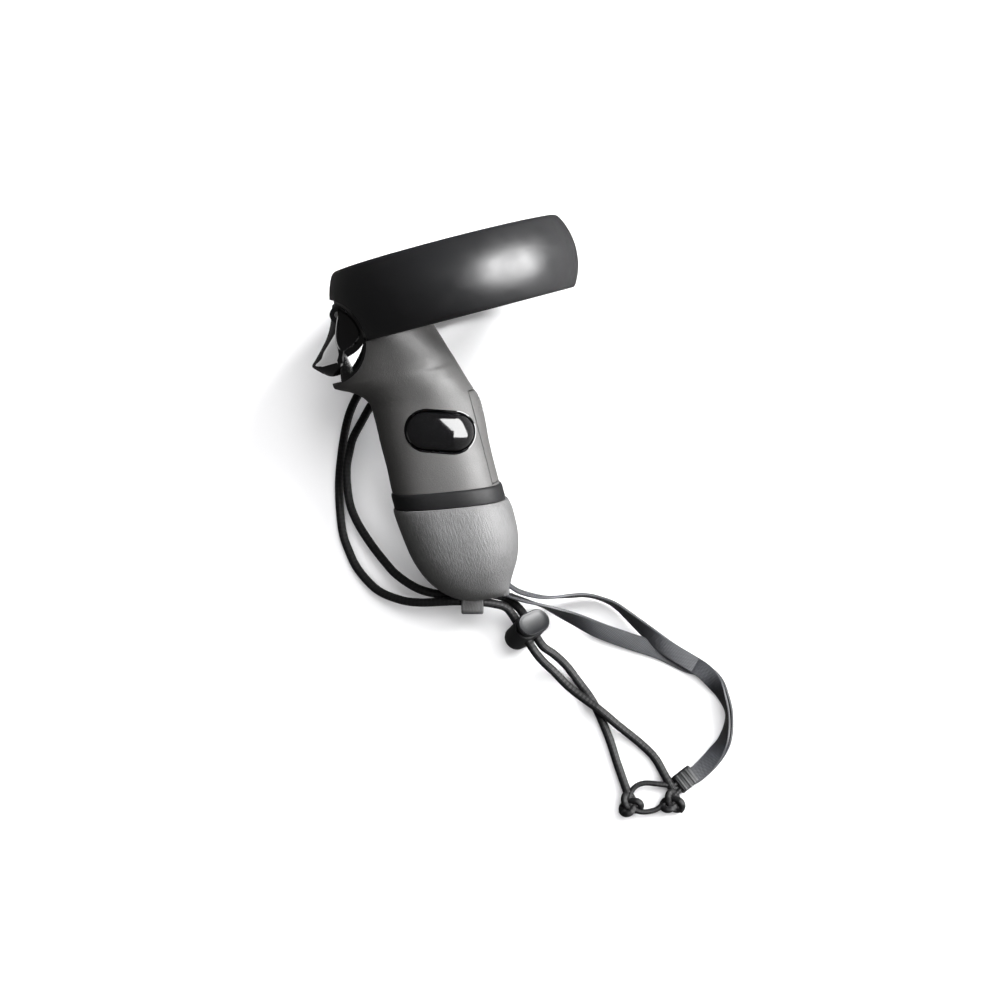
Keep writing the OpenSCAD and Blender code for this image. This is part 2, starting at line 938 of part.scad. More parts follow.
module strap_cap() {
  color(cap_grey)
    difference() {
      union() {
        loft(concat([for (s = cap_outside) whole_ring(s, cap_sides, 0)],
          [for (s = cap_inside) whole_ring(s, cap_sides, 0)]));
        lug_frame()
          translate([-3, 0, -3.4]) {
            translate([0, -lug_depth / 2, 0])
              cube([6, lug_depth, 9]);
            rotate([90, 0, 90])
              oblong(lug_depth, 5.4, 6);
          }
        translate([7.2, -lug_depth / 2, -103])
          cube([4.2, lug_depth, 8]);
      }
      lug_frame()
        for (b = lug_bores)
          translate([-12, b[0], b[1]])
            rotate([0, 90, 0])
              cylinder(r = lug_bore, h = 24);
      cord_ways();
      translate([0.4, -4.7, -104.5])
        cube([6.7, 9.4, 8.1]);
      translate([5, -lug_depth / 2 + 0.9, -105])
        cube([8, lug_depth - 1.8, 6.6]);
      translate([pin_spot[0], -6, pin_spot[1]])
        rotate([-90, 0, 0])
          cylinder(r = 0.8, h = 12);
    }
}

module strap_pin() {
  color(metal)
    translate([pin_spot[0], -lug_depth / 2, pin_spot[1]])
      rotate([-90, 0, 0])
        cylinder(r = 0.8, h = lug_depth);
}

module cap_band() {
  color(ring_black)
    loop_loft(concat(
      [for (z = [-65.4, -64.8, -60, -59.2]) whole_ring([z, -22.1, 18.5, 16.4, 2.6, -0.16],
        cap_sides, abs(z + 62.3) > 2.6 ? 0.2 : 0)],
      [for (z = [-59.2, -65.4]) whole_ring([z, -21.6, 17.9, 15.75, 2.6, -0.16],
        cap_sides, 0)]));
}

// ---------- hook behind the head ----------
hook_at = [-11, 23.2, -7.5];

module cord_hook() {
  color(body_grey)
    translate(hook_at)
      rotate([-90, 0, 0]) {
        cylinder(r = 2.4, h = 7);
        translate([0, 0, 6])
          cylinder(r = 4, h = 1.2);
      }
}

// ---------- hand cord and its tails ----------
// route points in row directions, from the lug's lower bore, round the hook and back
hand_route = [
  [11.1, -72.3, 13.7], [6, -72.1, 13.4], [0, -72.2, 11.9], [-7.6, -72.2, 9.4],
  [-15.2, -70.9, 6.6], [-24.1, -66.9, 3.9], [-31.5, -59.1, 2.2], [-35.5, -51.4, 1.6],
  [-38, -43.7, 1.6], [-39.3, -32.1, 1.6], [-39.3, -20.8, 2.3], [-37.2, -6, 5.6],
  [-34.3, 3, 8.8], [-29.8, 11, 10.2], [-25.2, 17.8, 10.9], [-23.7, 22.1, 11.3],
  [-22.5, 25, 12.1], [-19.5, 26.2, 12.5], [-16.5, 25, 12.1], [-15.3, 22.1, 11.3],
  [-16.9, 18, 11.2], [-21.3, 11.4, 11.8], [-26, 4.2, 12.2], [-30.2, -3, 11.1],
  [-33.6, -9.2, 9.6], [-35, -14, 8.3], [-36.2, -21.4, 6.9], [-35.2, -32.7, 5.7],
  [-32.4, -40.4, 5.6], [-27.7, -48.1, 5.9], [-21.8, -55.9, 6.8], [-16.4, -61.8, 7.8],
  [-8.4, -67, 9.2], [0, -69.2, 9.9], [6, -69, 10.6], [11.1, -69, 10.6]
];
tail_a_route = [
  [11.5, -72.3, 13.7], [15, -72.4, 13.6], [19.5, -72.9, 12.6], [24, -74, 11.4],
  [26.6, -76.6, 10.9], [30.6, -83.3, 11.4], [34.7, -90.1, 12], [38, -94, 9.6],
  [42.5, -98, 6.4], [48.3, -103.7, 5.1], [55.7, -109.3, 5], [59.5, -112, 4.9],
  [66.9, -118.1, 3.2], [74.4, -124, 1.8], [79.9, -129.5, 1.7], [83.4, -135.7, 2],
  [86.1, -140.9, 2.8]
];
tail_b_route = [
  [11.5, -69, 10.6], [15, -69, 10.5], [19.5, -69.2, 9.6], [24.5, -70.4, 7.7],
  [29.7, -74.7, 8.8], [33.8, -81.5, 9.4], [37.9, -88.3, 10.1], [42.5, -91.5, 7.8],
  [47, -95.4, 4.3], [52.1, -101.8, 2], [56.6, -108, 1.65], [59.9, -114.7, 1.65],
  [63.2, -122.9, 1.65], [66.1, -132.1, 1.65], [68.6, -139.5, 2.2], [69.6, -142.6, 2.8]
];

module hand_cord() {
  color(cord_black)
    cord(smooth_route(hand_route, 2), cord_size, 8, [0, 0, 1]);
}

module tail_cord_a() {
  color(cord_black)
    cord(smooth_route(tail_a_route, 2), cord_size, 8, [0, 0, 1]);
}

module tail_cord_b() {
  color(cord_black)
    cord(smooth_route(tail_b_route, 2), cord_size, 8, [0, 0, 1]);
}

// overhand knot: a closed three-leaf line, drawn tight
knot_size = 1.2;
knot_strand = 1.05;
knot_leaf = 2.5;
knot_line = [for (i = [0 : 36]) let (t = i * 10)
  knot_size * [sin(t) + knot_leaf * sin(2 * t), cos(t) - knot_leaf * cos(2 * t),
    -1.3 * sin(3 * t)]];

module knot(at, turn) {
  color(cord_black)
    translate(at)
      rotate([0, 0, turn])
        loop_loft([for (i = [0 : 35])
          let (d = unit(knot_line[i + 1] - knot_line[i == 0 ? 35 : i - 1]))
          let (s = unit(knot_line[i] - (knot_line[i] * d) * d))
          cord_ring(knot_line[i], d, s, knot_strand, 8)]);
}

module cord_knot_a() {
  knot([86.1, -145.8, 2.85], 60);
}

module cord_knot_b() {
  knot([70.5, -146.7, 2.85], 80);
}

// ---------- cord lock ----------
lock_at = [32.2, -82.4, 10.4];
lock_tilt = 28;
lock_spread = 2.1;

module at_lock() {
  laid()
    translate(lock_at)
      rotate([0, 0, 40])
        rotate([0, lock_tilt, 0])
          rotate([0, 0, -10])
            children();
}

module lock_body() {
  color(ring_black)
    difference() {
      translate([0, 0, -7.4])
        oblong(13.4, 9, 11);
      translate([0, 0, -5.6])
        oblong(11.4, 7, 12);
      for (side = [-1, 1])
        translate([side * lock_spread, -8, 0])
          rotate([-90, 0, 0])
            cylinder(r = cord_size / 2 + 0.2, h = 16);
    }
}

module lock_plunger() {
  color(ring_black)
    difference() {
      union() {
        translate([0, 0, -2.6])
          oblong(11.3, 6.9, 8.6);
        translate([0, 0, 5.8])
          oblong(13.4, 9, 1.4);
        translate([0, 0, 7.1])
          oblong(11.8, 7.4, 0.5);
      }
      translate([-4.1, -8, -1.75])
        cube([8.2, 16, 5.6]);
    }
}

module lock_spring() {
  color(metal)
    translate([0, 0, -5.4])
      coil(2.4, 0.5, 0.9, 2.5);
}

// ---------- wrist band ----------
// height, width direction of each route point of the doubled end, crimp first
stack_route = [
  [92.5, -137, 1.7], [96.8, -134.3, 1.6], [102.4, -128.4, 2.7], [106.2, -122.4, 3.7],
  [107.8, -113.7, 3.9], [105.6, -106.3, 3.8], [102.4, -101, 2.9], [97.6, -96.4, 1.9]
];
stack_width = [
  [0.66, -0.75, 0], [0.66, -0.75, 0.1], [0.7, -0.4, 0.5], [0.4, -0.1, 0.9],
  [0, 0, 1], [0.3, 0.1, 0.9], [0.7, 0.4, 0.5], [0.6, 0.75, 0.1]
];
first_leg = [
  [93.4, -93.8, 2.1], [86, -89.3, 2.7], [78.6, -83.5, 3.6], [71.1, -77, 3.9],
  [65.5, -72.5, 4.1], [59.8, -70, 4.4], [54.1, -69, 5.2], [48.4, -69.4, 6.6],
  [38.9, -70.2, 9.6], [30, -68.6, 12.2]
];
first_width = [
  [0.5, 0.84, 0], [0.5, 0.8, 0.3], [0.4, 0.6, 0.7], [0.2, 0.3, 0.9],
  [0.1, 0.1, 1], [0, 0, 1], [0, 0, 1], [0, 0, 1], [0, -0.2, 1], [0, -0.29, 0.96]
];
pin_turn = [
  [25.6, -66.2, 13.4], [23.8, -65.9, 13.5], [22.3, -67, 13.2], [22.5, -68.8, 12.7],
  [24.2, -69.3, 12.5]
];
second_leg = [
  [30, -71.2, 11.6], [39, -73.6, 9], [45, -75.8, 6.6], [52.3, -78.8, 4.6],
  [59.9, -82.2, 3.3], [71.2, -86.1, 2.1], [82.4, -89.7, 1.1], [92.6, -94.6, 0.75]
];
second_width = [
  [0, -0.29, 0.96], [0, 0, 1], [0.1, 0.3, 0.9], [0.2, 0.6, 0.7],
  [0.3, 0.8, 0.4], [0.35, 0.9, 0.2], [0.4, 0.9, 0.05], [0.5, 0.84, 0]
];
stack_gap = 0.62;

// one layer of the doubled end, to one side of the shared line
function layer(side) =
  [for (i = [0 : len(stack_route) - 1])
    stack_route[i] + side * unit(cross(stack_width[i], route_dir(stack_route, i)))];

function reversed(list) = [for (i = [len(list) - 1 : -1 : 0]) list[i]];

band_route = concat(layer(-stack_gap), first_leg, pin_turn, second_leg,
  reversed(layer(stack_gap)));
band_widths = concat(stack_width, first_width, [for (p = pin_turn) [0, -0.29, 0.96]],
  second_width, reversed(stack_width));

module wrist_band() {
  color([0.2, 0.22, 0.25])
    band(smooth_route(band_route, 2), smooth_route(band_widths, 2), band_width, band_thick);
}

crimp_at = [91.3, -137.4, 0.2];

module strap_crimp() {
  color(ring_black)
    translate(crimp_at)
      rotate([0, 0, 37])
        difference() {
          union() {
            translate([-4, -3.6, 0])
              cube([8, 7.2, 2]);
            translate([-3.6, -3.3, 1.9])
              cube([7.2, 6.6, 1.9]);
          }
          for (side = [-1, 1])
            translate([-8, side * 2, 1.9])
              rotate([0, 90, 0])
                cylinder(r = loop_size / 2, h = 8);
        }
}

loop_route = [
  [89, -138.5, 2.1], [85.9, -139.6, 2.6], [81.4, -139.2, 3], [75.9, -138.8, 3],
  [72.2, -140.3, 3], [70.2, -143.7, 3], [70.5, -146.6, 3], [73.8, -149.2, 3],
  [79.4, -148.7, 2.6], [83.1, -146.3, 2.6], [86.6, -143.6, 2.6], [90.2, -140.2, 2.1]
];

module loop_cord() {
  color(cord_black)
    cord(smooth_route(loop_route, 2), loop_size, 8, [0, 0, 1]);
}

// ---------- assembly ----------
placed() handle_shell_left();
placed() handle_shell_right();
placed() ring_outer_shell();
placed() ring_inner_shell();
placed() ring_flex();
placed() ring_leds();
placed() face_housing();
placed() face_plate();
placed() trigger_bezel();
placed() trigger();
placed() trigger_pin();
placed() trigger_spring();
placed() grip_bezel();
placed() grip_button();
placed() grip_pin();
placed() grip_spring();
placed() stick_housing();
placed() stick_yoke();
placed() stick_gimbal();
placed() stick_shaft();
placed() stick_cap();
placed() button_a();
placed() button_b();
placed() system_button();
placed() thumb_rest();
placed() main_board();
placed() board_switches();
placed() haptic_motor();
placed() battery_tray();
placed() battery();
placed() contact_positive();
placed() contact_spring();
placed() battery_cover();
placed() cover_magnets();
placed() housing_screws();
placed() strap_cap();
placed() strap_pin();
placed() cap_band();
placed() cord_hook();
laid() hand_cord();
laid() tail_cord_a();
laid() tail_cord_b();
laid() cord_knot_a();
laid() cord_knot_b();
at_lock() lock_body();
at_lock() lock_plunger();
at_lock() lock_spring();
laid() wrist_band();
laid() strap_crimp();
laid() loop_cord();
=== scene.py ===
import json
import math

import bmesh
import bpy
import numpy as np
from mathutils import Matrix, Vector

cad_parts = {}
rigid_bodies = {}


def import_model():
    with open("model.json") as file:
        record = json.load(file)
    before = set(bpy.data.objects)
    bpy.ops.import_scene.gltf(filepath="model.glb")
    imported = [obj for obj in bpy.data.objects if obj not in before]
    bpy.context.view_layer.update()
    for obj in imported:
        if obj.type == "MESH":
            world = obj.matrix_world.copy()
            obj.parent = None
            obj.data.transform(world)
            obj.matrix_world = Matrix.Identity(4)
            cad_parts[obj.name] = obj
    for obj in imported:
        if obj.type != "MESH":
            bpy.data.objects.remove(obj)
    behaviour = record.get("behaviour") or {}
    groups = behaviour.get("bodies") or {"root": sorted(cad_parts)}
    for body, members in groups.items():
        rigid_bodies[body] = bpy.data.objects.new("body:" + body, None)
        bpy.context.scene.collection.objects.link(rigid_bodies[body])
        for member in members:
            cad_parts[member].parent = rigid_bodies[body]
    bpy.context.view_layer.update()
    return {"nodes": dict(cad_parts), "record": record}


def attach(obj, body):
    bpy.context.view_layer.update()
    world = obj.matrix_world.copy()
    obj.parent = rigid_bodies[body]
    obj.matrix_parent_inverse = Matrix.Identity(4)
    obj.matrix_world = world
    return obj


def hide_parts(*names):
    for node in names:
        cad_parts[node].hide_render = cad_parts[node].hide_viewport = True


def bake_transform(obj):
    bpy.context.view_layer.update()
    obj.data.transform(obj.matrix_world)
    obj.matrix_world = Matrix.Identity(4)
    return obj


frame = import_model()

# ---------- frames ----------
MM = 0.001
LIE_ANGLE = 16.35
RING_LEAN = 14.5
HANDLE_ORIGIN = (-13.0, 27.6, 40.0)
ROW_SHIFT = (-2.3, 3.4, 0.0)
LOCK_AT = (32.2, -82.4, 10.4)
LOCK_TURNS = (("Z", 40), ("Y", 28), ("Z", -10))
CRIMP_AT = (91.3, -137.4, 0.2)


def turn(axis, degrees):
    return Matrix.Rotation(math.radians(degrees), 4, axis)


SCALE = Matrix.Scale(MM, 4)
HANDLE = SCALE @ Matrix.Translation(HANDLE_ORIGIN) @ turn("X", LIE_ANGLE)
HANDLE = HANDLE @ turn("Z", RING_LEAN) @ turn("X", -90)
LAID = SCALE @ Matrix.Translation(ROW_SHIFT)
LOCK = LAID @ Matrix.Translation(LOCK_AT)
for axis, degrees in LOCK_TURNS:
    LOCK = LOCK @ turn(axis, degrees)
CRIMP = LAID @ Matrix.Translation(CRIMP_AT) @ turn("Z", 37)


def placed(name, data):
    """A new object of this data, linked to the scene."""
    obj = bpy.data.objects.new(name, data)
    bpy.context.scene.collection.objects.link(obj)
    return obj


# ---------- camera ----------
CAMERA_AT, CAMERA_AIM = (0.0199, -0.1319, 0.6185), (0.0199, -0.0321, 0.0225)


def facing(place, aim):
    """The turn that points a camera or light at place towards aim."""
    return (Vector(aim) - Vector(place)).to_track_quat("-Z", "Y")


def make_camera():
    data = bpy.data.cameras.new("camera")
    data.lens = 58.8
    data.sensor_width = 36
    data.clip_start = 0.01
    data.clip_end = 20
    camera = placed("camera", data)
    camera.location = CAMERA_AT
    camera.rotation_euler = facing(CAMERA_AT, CAMERA_AIM).to_euler()
    bpy.context.scene.camera = camera


make_camera()


# ---------- materials ----------
class Paint:
    """One material, built node by node in the handle's own millimetres."""

    def __init__(self, name):
        self.material = bpy.data.materials.new(name)
        self.material.use_nodes = True
        self.tree = self.material.node_tree
        self.tree.nodes.clear()
        self.shader = self.add("ShaderNodeBsdfPrincipled")
        out = self.add("ShaderNodeOutputMaterial")
        self.tree.links.new(self.shader.outputs[0], out.inputs[0])
        values = {"Vector": self.add("ShaderNodeTexCoord").outputs["Object"], "Scale": (MM, MM, MM)}
        values |= {"Location": HANDLE.to_translation(), "Rotation": HANDLE.to_euler()}
        self.place = self.add("ShaderNodeMapping", values, vector_type="TEXTURE").outputs[0]

    def add(self, kind, values=None, **settings):
        node = self.tree.nodes.new(kind)
        for key, value in settings.items():
            setattr(node, key, value)
        for key, value in (values or {}).items():
            self.feed(node.inputs[key], value)
        return node

    def feed(self, socket, value):
        if isinstance(value, bpy.types.NodeSocket):
            self.tree.links.new(value, socket)
        else:
            socket.default_value = value

    def set(self, **values):
        """Sets the shader's own sockets by name, and gives the material."""
        for key, value in values.items():
            self.feed(self.shader.inputs[key.replace("_", " ")], value)
        return self.material

    def noise(self, scale, detail=3.0, stretch=None, roughness=0.5):
        place = self.place
        if stretch is not None:
            place = self.add("ShaderNodeMapping", {"Vector": place, "Scale": stretch}).outputs[0]
        values = {"Vector": place, "Scale": scale, "Detail": detail, "Roughness": roughness}
        return self.add("ShaderNodeTexNoise", values).outputs[0]

    def spread(self, value, low, high, to_low=0.0, to_high=1.0):
        values = {0: value, 1: low, 2: high, 3: to_low, 4: to_high}
        return self.add("ShaderNodeMapRange", values, interpolation_type="SMOOTHSTEP").outputs[0]

    def math(self, operation, a, b=0.0):
        return self.add("ShaderNodeMath", {0: a, 1: b}, operation=operation).outputs[0]

    def mix(self, factor, a, b):
        values = {0: factor, 6: a, 7: b}
        return self.add("ShaderNodeMix", values, data_type="RGBA", clamp_factor=True).outputs[2]

    def bump(self, height, distance, strength=1.0, under=None):
        values = {"Height": height, "Distance": distance * MM, "Strength": strength}
        if under is not None:
            values["Normal"] = under
        return self.add("ShaderNodeBump", values).outputs[0]

    def edges(self, low, high):
        return self.spread(self.add("ShaderNodeNewGeometry").outputs["Pointiness"], low, high)

    def attribute(self, name):
        return self.add("ShaderNodeAttribute", attribute_name=name)


def shade(colour, factor):
    return (*[min(1.0, c * factor) for c in colour], 1.0)


def moulded(name, colour, rough, grain, depth, wear=0.25, specular=0.5):
    """Moulded plastic: cloudy colour, a spark-worn grain, polished edges."""
    p = Paint(name)
    cloud = p.spread(p.noise(0.045, 4), 0.3, 0.7)
    speck = p.spread(p.noise(1.9, 2), 0.35, 0.7)
    tone = p.mix(cloud, shade(colour, 0.93), shade(colour, 1.07))
    tone = p.mix(p.math("MULTIPLY", speck, 0.35), tone, shade(colour, 1.22))
    rub = p.math("MULTIPLY", p.edges(0.53, 0.6), wear)
    tone = p.mix(rub, tone, shade(colour, 1.9))
    smear = p.noise(0.11, 5, roughness=0.65)
    p.set(Base_Color=tone, Roughness=p.spread(smear, 0.3, 0.7, rough - 0.05, rough + 0.07))
    return p.set(Normal=p.bump(p.noise(grain, 2, roughness=0.6), depth), Specular_IOR_Level=specular)


def piano_black():
    p = Paint("gloss_black")
    smear = p.noise(0.2, 6, roughness=0.7)
    dust = p.spread(p.noise(2.6, 1), 0.74, 0.8)
    tone = p.mix(p.math("MULTIPLY", dust, 0.25), (0.0045, 0.0045, 0.005, 1), (0.05, 0.05, 0.052, 1))
    p.set(Base_Color=tone, Roughness=p.spread(smear, 0.35, 0.75, 0.035, 0.12))
    return p.set(Normal=p.bump(p.noise(0.25, 2), 0.012), Coat_Weight=0.5, Coat_Roughness=0.03)


def grained_cap():
    """The end cap's streaky matte plastic, its grain running up the handle."""
    p = Paint("cap_plastic")
    streak = p.noise(1.0, 4, stretch=(2.2, 2.2, 0.35), roughness=0.65)
    fleck = p.noise(1.0, 3, stretch=(5.5, 5.5, 1.6), roughness=0.6)
    cloud = p.noise(0.06, 3)
    base = (0.155, 0.155, 0.156)
    tone = p.mix(p.spread(streak, 0.3, 0.7), shade(base, 0.78), shade(base, 1.2))
    tone = p.mix(p.spread(fleck, 0.62, 0.74, 0.0, 0.5), tone, shade(base, 0.42))
    tone = p.mix(p.spread(cloud, 0.35, 0.65, 0.0, 0.3), tone, shade(base, 1.3))
    tone = p.mix(p.math("MULTIPLY", p.edges(0.52, 0.6), 0.35), tone, shade(base, 1.8))
    p.set(Base_Color=tone, Roughness=p.spread(streak, 0.3, 0.7, 0.48, 0.66))
    under = p.bump(p.noise(2.4, 2), 0.05)
    return p.set(Normal=p.bump(streak, 0.16, under=under))


def braid(name, colour, turns, pitch, depth):
    """A braided cord sheath: crossing strands from the sweep's own along and around."""
    p = Paint(name)
    around = p.add("ShaderNodeSeparateXYZ", {0: p.attribute("around").outputs["Vector"]})
    angle = p.math("MULTIPLY", p.math("ARCTAN2", around.outputs[1], around.outputs[0]), turns)
    along = p.math("MULTIPLY", p.attribute("along").outputs["Fac"], 2 * math.pi / pitch)
    one = p.math("SINE", p.math("ADD", angle, along))
    two = p.math("SINE", p.math("SUBTRACT", angle, along))
    weave = p.math("MULTIPLY", one, two)
    worn = p.spread(p.noise(0.35, 4), 0.35, 0.7)
    tone = p.mix(p.spread(weave, -1.0, 1.0), shade(colour, 0.55), shade(colour, 1.5))
    tone = p.mix(p.math("MULTIPLY", worn, 0.3), tone, shade(colour, 2.2))
    fuzz = p.noise(5.0, 2)
    p.set(Base_Color=tone, Roughness=p.spread(weave, -1.0, 1.0, 0.62, 0.42))
    p.set(Normal=p.bump(weave, depth, under=p.bump(fuzz, 0.03)))
    return p.set(Sheen_Weight=0.05, Specular_IOR_Level=0.32, Sheen_Roughness=0.4)


def webbing():
    p = Paint("band_webbing")
    along = p.math("MULTIPLY", p.attribute("along").outputs["Fac"], 2 * math.pi / 0.9)
    across = p.attribute("across").outputs["Fac"]
    rib = p.math("MULTIPLY", across, 2 * math.pi * 5)
    weave = p.math("MULTIPLY", p.math("SINE", along), p.math("SINE", rib))
    edge = p.spread(p.math("ABSOLUTE", across), 0.8, 0.95)
    base = (0.034, 0.036, 0.043)
    tone = p.mix(p.spread(weave, -1.0, 1.0), shade(base, 0.7), shade(base, 1.35))
    tone = p.mix(p.math("MULTIPLY", edge, 0.6), tone, shade(base, 0.5))
    tone = p.mix(p.spread(p.noise(0.12, 4), 0.4, 0.7, 0.0, 0.35), tone, shade(base, 2.0))
    p.set(Base_Color=tone, Roughness=p.spread(weave, -1.0, 1.0, 0.6, 0.42))
    p.set(Normal=p.bump(weave, 0.07, under=p.bump(p.noise(6.0, 2), 0.02)))
    return p.set(Sheen_Weight=0.3, Sheen_Roughness=0.35)


def metal(name, colour, rough, stretch):
    p = Paint(name)
    line = p.noise(1.0, 4, stretch=stretch, roughness=0.6)
    tone = p.mix(p.spread(line, 0.3, 0.7), shade(colour, 0.8), shade(colour, 1.1))
    tone = p.mix(p.spread(p.noise(0.3, 4), 0.6, 0.75, 0.0, 0.4), tone, shade(colour, 0.5))
    p.set(Base_Color=tone, Roughness=p.spread(line, 0.3, 0.7, rough - 0.08, rough + 0.12))
    return p.set(Normal=p.bump(line, 0.02), Metallic=1.0)


def lens():
    p = Paint("led_lens")
    tone = p.mix(p.spread(p.noise(0.8, 3), 0.35, 0.65), (0.6, 0.59, 0.52, 1), (0.8, 0.79, 0.74, 1))
    p.set(Base_Color=tone, Roughness=p.spread(p.noise(2.0, 2), 0.3, 0.7, 0.08, 0.2))
    return p.set(Normal=p.bump(p.noise(1.5, 2), 0.02), Transmission_Weight=0.35)


def film():
    p = Paint("flex_film")
    trace = p.add("ShaderNodeTexWave", {"Vector": p.place, "Scale": 0.45, "Distortion": 0.6}).outputs[1]
    line = p.spread(trace, 0.45, 0.6)
    tone = p.mix(line, (0.3, 0.14, 0.03, 1), (0.42, 0.22, 0.06, 1))
    p.set(Base_Color=tone, Roughness=p.spread(line, 0.0, 1.0, 0.45, 0.3))
    return p.set(Normal=p.bump(line, 0.03))


def board():
    p = Paint("board_green")
    cells = p.add("ShaderNodeTexVoronoi", {"Vector": p.place, "Scale": 0.6}, distance="MANHATTAN")
    pad = p.spread(cells.outputs["Distance"], 0.08, 0.12, 1.0, 0.0)
    line = p.spread(p.add("ShaderNodeTexBrick", {"Vector": p.place, "Scale": 0.3}).outputs[1], 0.0, 1.0)
    tone = p.mix(line, (0.01, 0.09, 0.04, 1), (0.02, 0.14, 0.07, 1))
    tone = p.mix(pad, tone, (0.5, 0.4, 0.15, 1))
    p.set(Base_Color=tone, Roughness=p.spread(p.noise(0.5, 3), 0.3, 0.7, 0.3, 0.45))
    return p.set(Normal=p.bump(p.math("ADD", pad, line), 0.03))


def sleeve():
    p = Paint("battery_sleeve")
    height = p.add("ShaderNodeSeparateXYZ", {0: p.place}).outputs[2]
    band = p.spread(height, -26.5, -26.2)
    tone = p.mix(band, (0.012, 0.03, 0.04, 1), (0.35, 0.2, 0.05, 1))
    tone = p.mix(p.spread(p.noise(0.5, 5), 0.6, 0.75, 0.0, 0.3), tone, (0.3, 0.3, 0.3, 1))
    p.set(Base_Color=tone, Roughness=p.spread(p.noise(0.4, 4), 0.3, 0.7, 0.22, 0.4))
    return p.set(Normal=p.bump(p.noise(0.6, 3), 0.03), Metallic=0.4)


MATERIALS = {
    "body_grey": moulded("body_grey", (0.1, 0.0983, 0.0967), 0.56, 2.3, 0.075, wear=0.2),
    "ring_plastic": moulded("ring_plastic", (0.014, 0.014, 0.0155), 0.34, 3.2, 0.02, wear=0.1),
    "flex_film": film(),
    "led_lens": lens(),
    "gloss_black": piano_black(),
    "stick_rubber": moulded("stick_rubber", (0.02, 0.02, 0.02), 0.7, 4.0, 0.08, specular=0.35),
    "steel": metal("steel", (0.5, 0.5, 0.5), 0.3, (5.0, 0.4, 5.0)),
    "inner_plastic": moulded("inner_plastic", (0.035, 0.035, 0.036), 0.5, 1.8, 0.06),
    "board_green": board(),
    "battery_sleeve": sleeve(),
    "contact_nickel": metal("contact_nickel", (0.62, 0.6, 0.54), 0.22, (2.0, 2.0, 2.0)),
    "cap_plastic": grained_cap(),
    "band_collar": moulded("band_collar", (0.014, 0.014, 0.015), 0.5, 3.0, 0.03, specular=0.2),
    "elastic_cord": braid("elastic_cord", (0.006, 0.006, 0.0066), 8, 3.2, 0.06),
    "lock_plastic": moulded("lock_plastic", (0.015, 0.0158, 0.0175), 0.46, 3.0, 0.03, wear=0.5),
    "band_webbing": webbing(),
    "loop_cord": braid("loop_cord", (0.006, 0.006, 0.0066), 6, 2.2, 0.04),
}


# ---------- meshes ----------
def piece(name, made, slot, body, node, matrix=HANDLE, sharp=35):
    """A smooth-shaded mesh of (points, faces), riding on a body in place of a CAD node."""
    obj = shape(*made, matrix, name)
    smooth(obj.data, sharp)
    obj.data.materials.append(MATERIALS[slot])
    if body:
        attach(obj, body)
    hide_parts(node)
    return obj


def smooth(mesh, sharp):
    mesh.polygons.foreach_set("use_smooth", [True] * len(mesh.polygons))
    mesh.set_sharp_from_angle(angle=math.radians(sharp))


def plain_mesh(name, points, faces):
    mesh = bpy.data.meshes.new(name)
    mesh.from_pydata([tuple(p) for p in points], [], faces)
    return mesh


def shape(points, faces, matrix=HANDLE, name="tool"):
    """A closed mesh with no material, which alone only serves to cut or join."""
    mesh = plain_mesh(name, points, faces)
    mesh.transform(matrix)
    work = bmesh.new()
    work.from_mesh(mesh)
    bmesh.ops.recalc_face_normals(work, faces=work.faces)
    work.to_mesh(mesh)
    work.free()
    return placed(name, mesh)


def carve(obj, tool, operation="DIFFERENCE", sharp=35):
    """Cuts, joins or intersects obj with tool, and removes the tool."""
    modifier = obj.modifiers.new("carve", "BOOLEAN")
    modifier.operation = operation
    modifier.object = tool
    modifier.solver = "EXACT"
    graph = bpy.context.evaluated_depsgraph_get()
    made = bpy.data.meshes.new_from_object(obj.evaluated_get(graph))
    obj.modifiers.remove(modifier)
    old = obj.data
    obj.data = made
    bpy.data.meshes.remove(old)
    spent = tool.data
    bpy.data.objects.remove(tool)
    bpy.data.meshes.remove(spent)
    work = bmesh.new()
    work.from_mesh(made)
    bmesh.ops.remove_doubles(work, verts=work.verts, dist=0.00001)
    bmesh.ops.dissolve_degenerate(work, edges=work.edges, dist=0.000005)
    work.to_mesh(made)
    work.free()
    smooth(made, sharp)
    return obj


def loft(rings, closed=False):
    """Faces of a stack of rings with the same number of points each."""
    count, n = len(rings), len(rings[0])
    points = np.concatenate(rings)
    faces = []
    for k in range(count if closed else count - 1):
        a, b = k * n, ((k + 1) % count) * n
        faces += [(a + i, a + (i + 1) % n, b + (i + 1) % n, b + i) for i in range(n)]
    if not closed:
        faces.append(tuple(range(n - 1, -1, -1)))
        faces.append(tuple(range((count - 1) * n, count * n)))
    return points, faces


def joined(*parts):
    """Several (points, faces) as one."""
    points, faces, count = [], [], 0
    for p, f in parts:
        points.append(np.array(p, float))
        faces += [tuple(i + count for i in face) for face in f]
        count += len(p)
    return np.concatenate(points), faces


def lathe(profile, steps=64, centre=(0, 0, 0)):
    """A closed profile of (radius, height) turned round the centre's Z axis."""
    angles = np.arange(steps) * 2 * math.pi / steps
    rings = [
        np.array([(r * math.cos(a), r * math.sin(a), z) for r, z in profile]) + np.array(centre)
        for a in angles
    ]
    return loft(rings, closed=True)


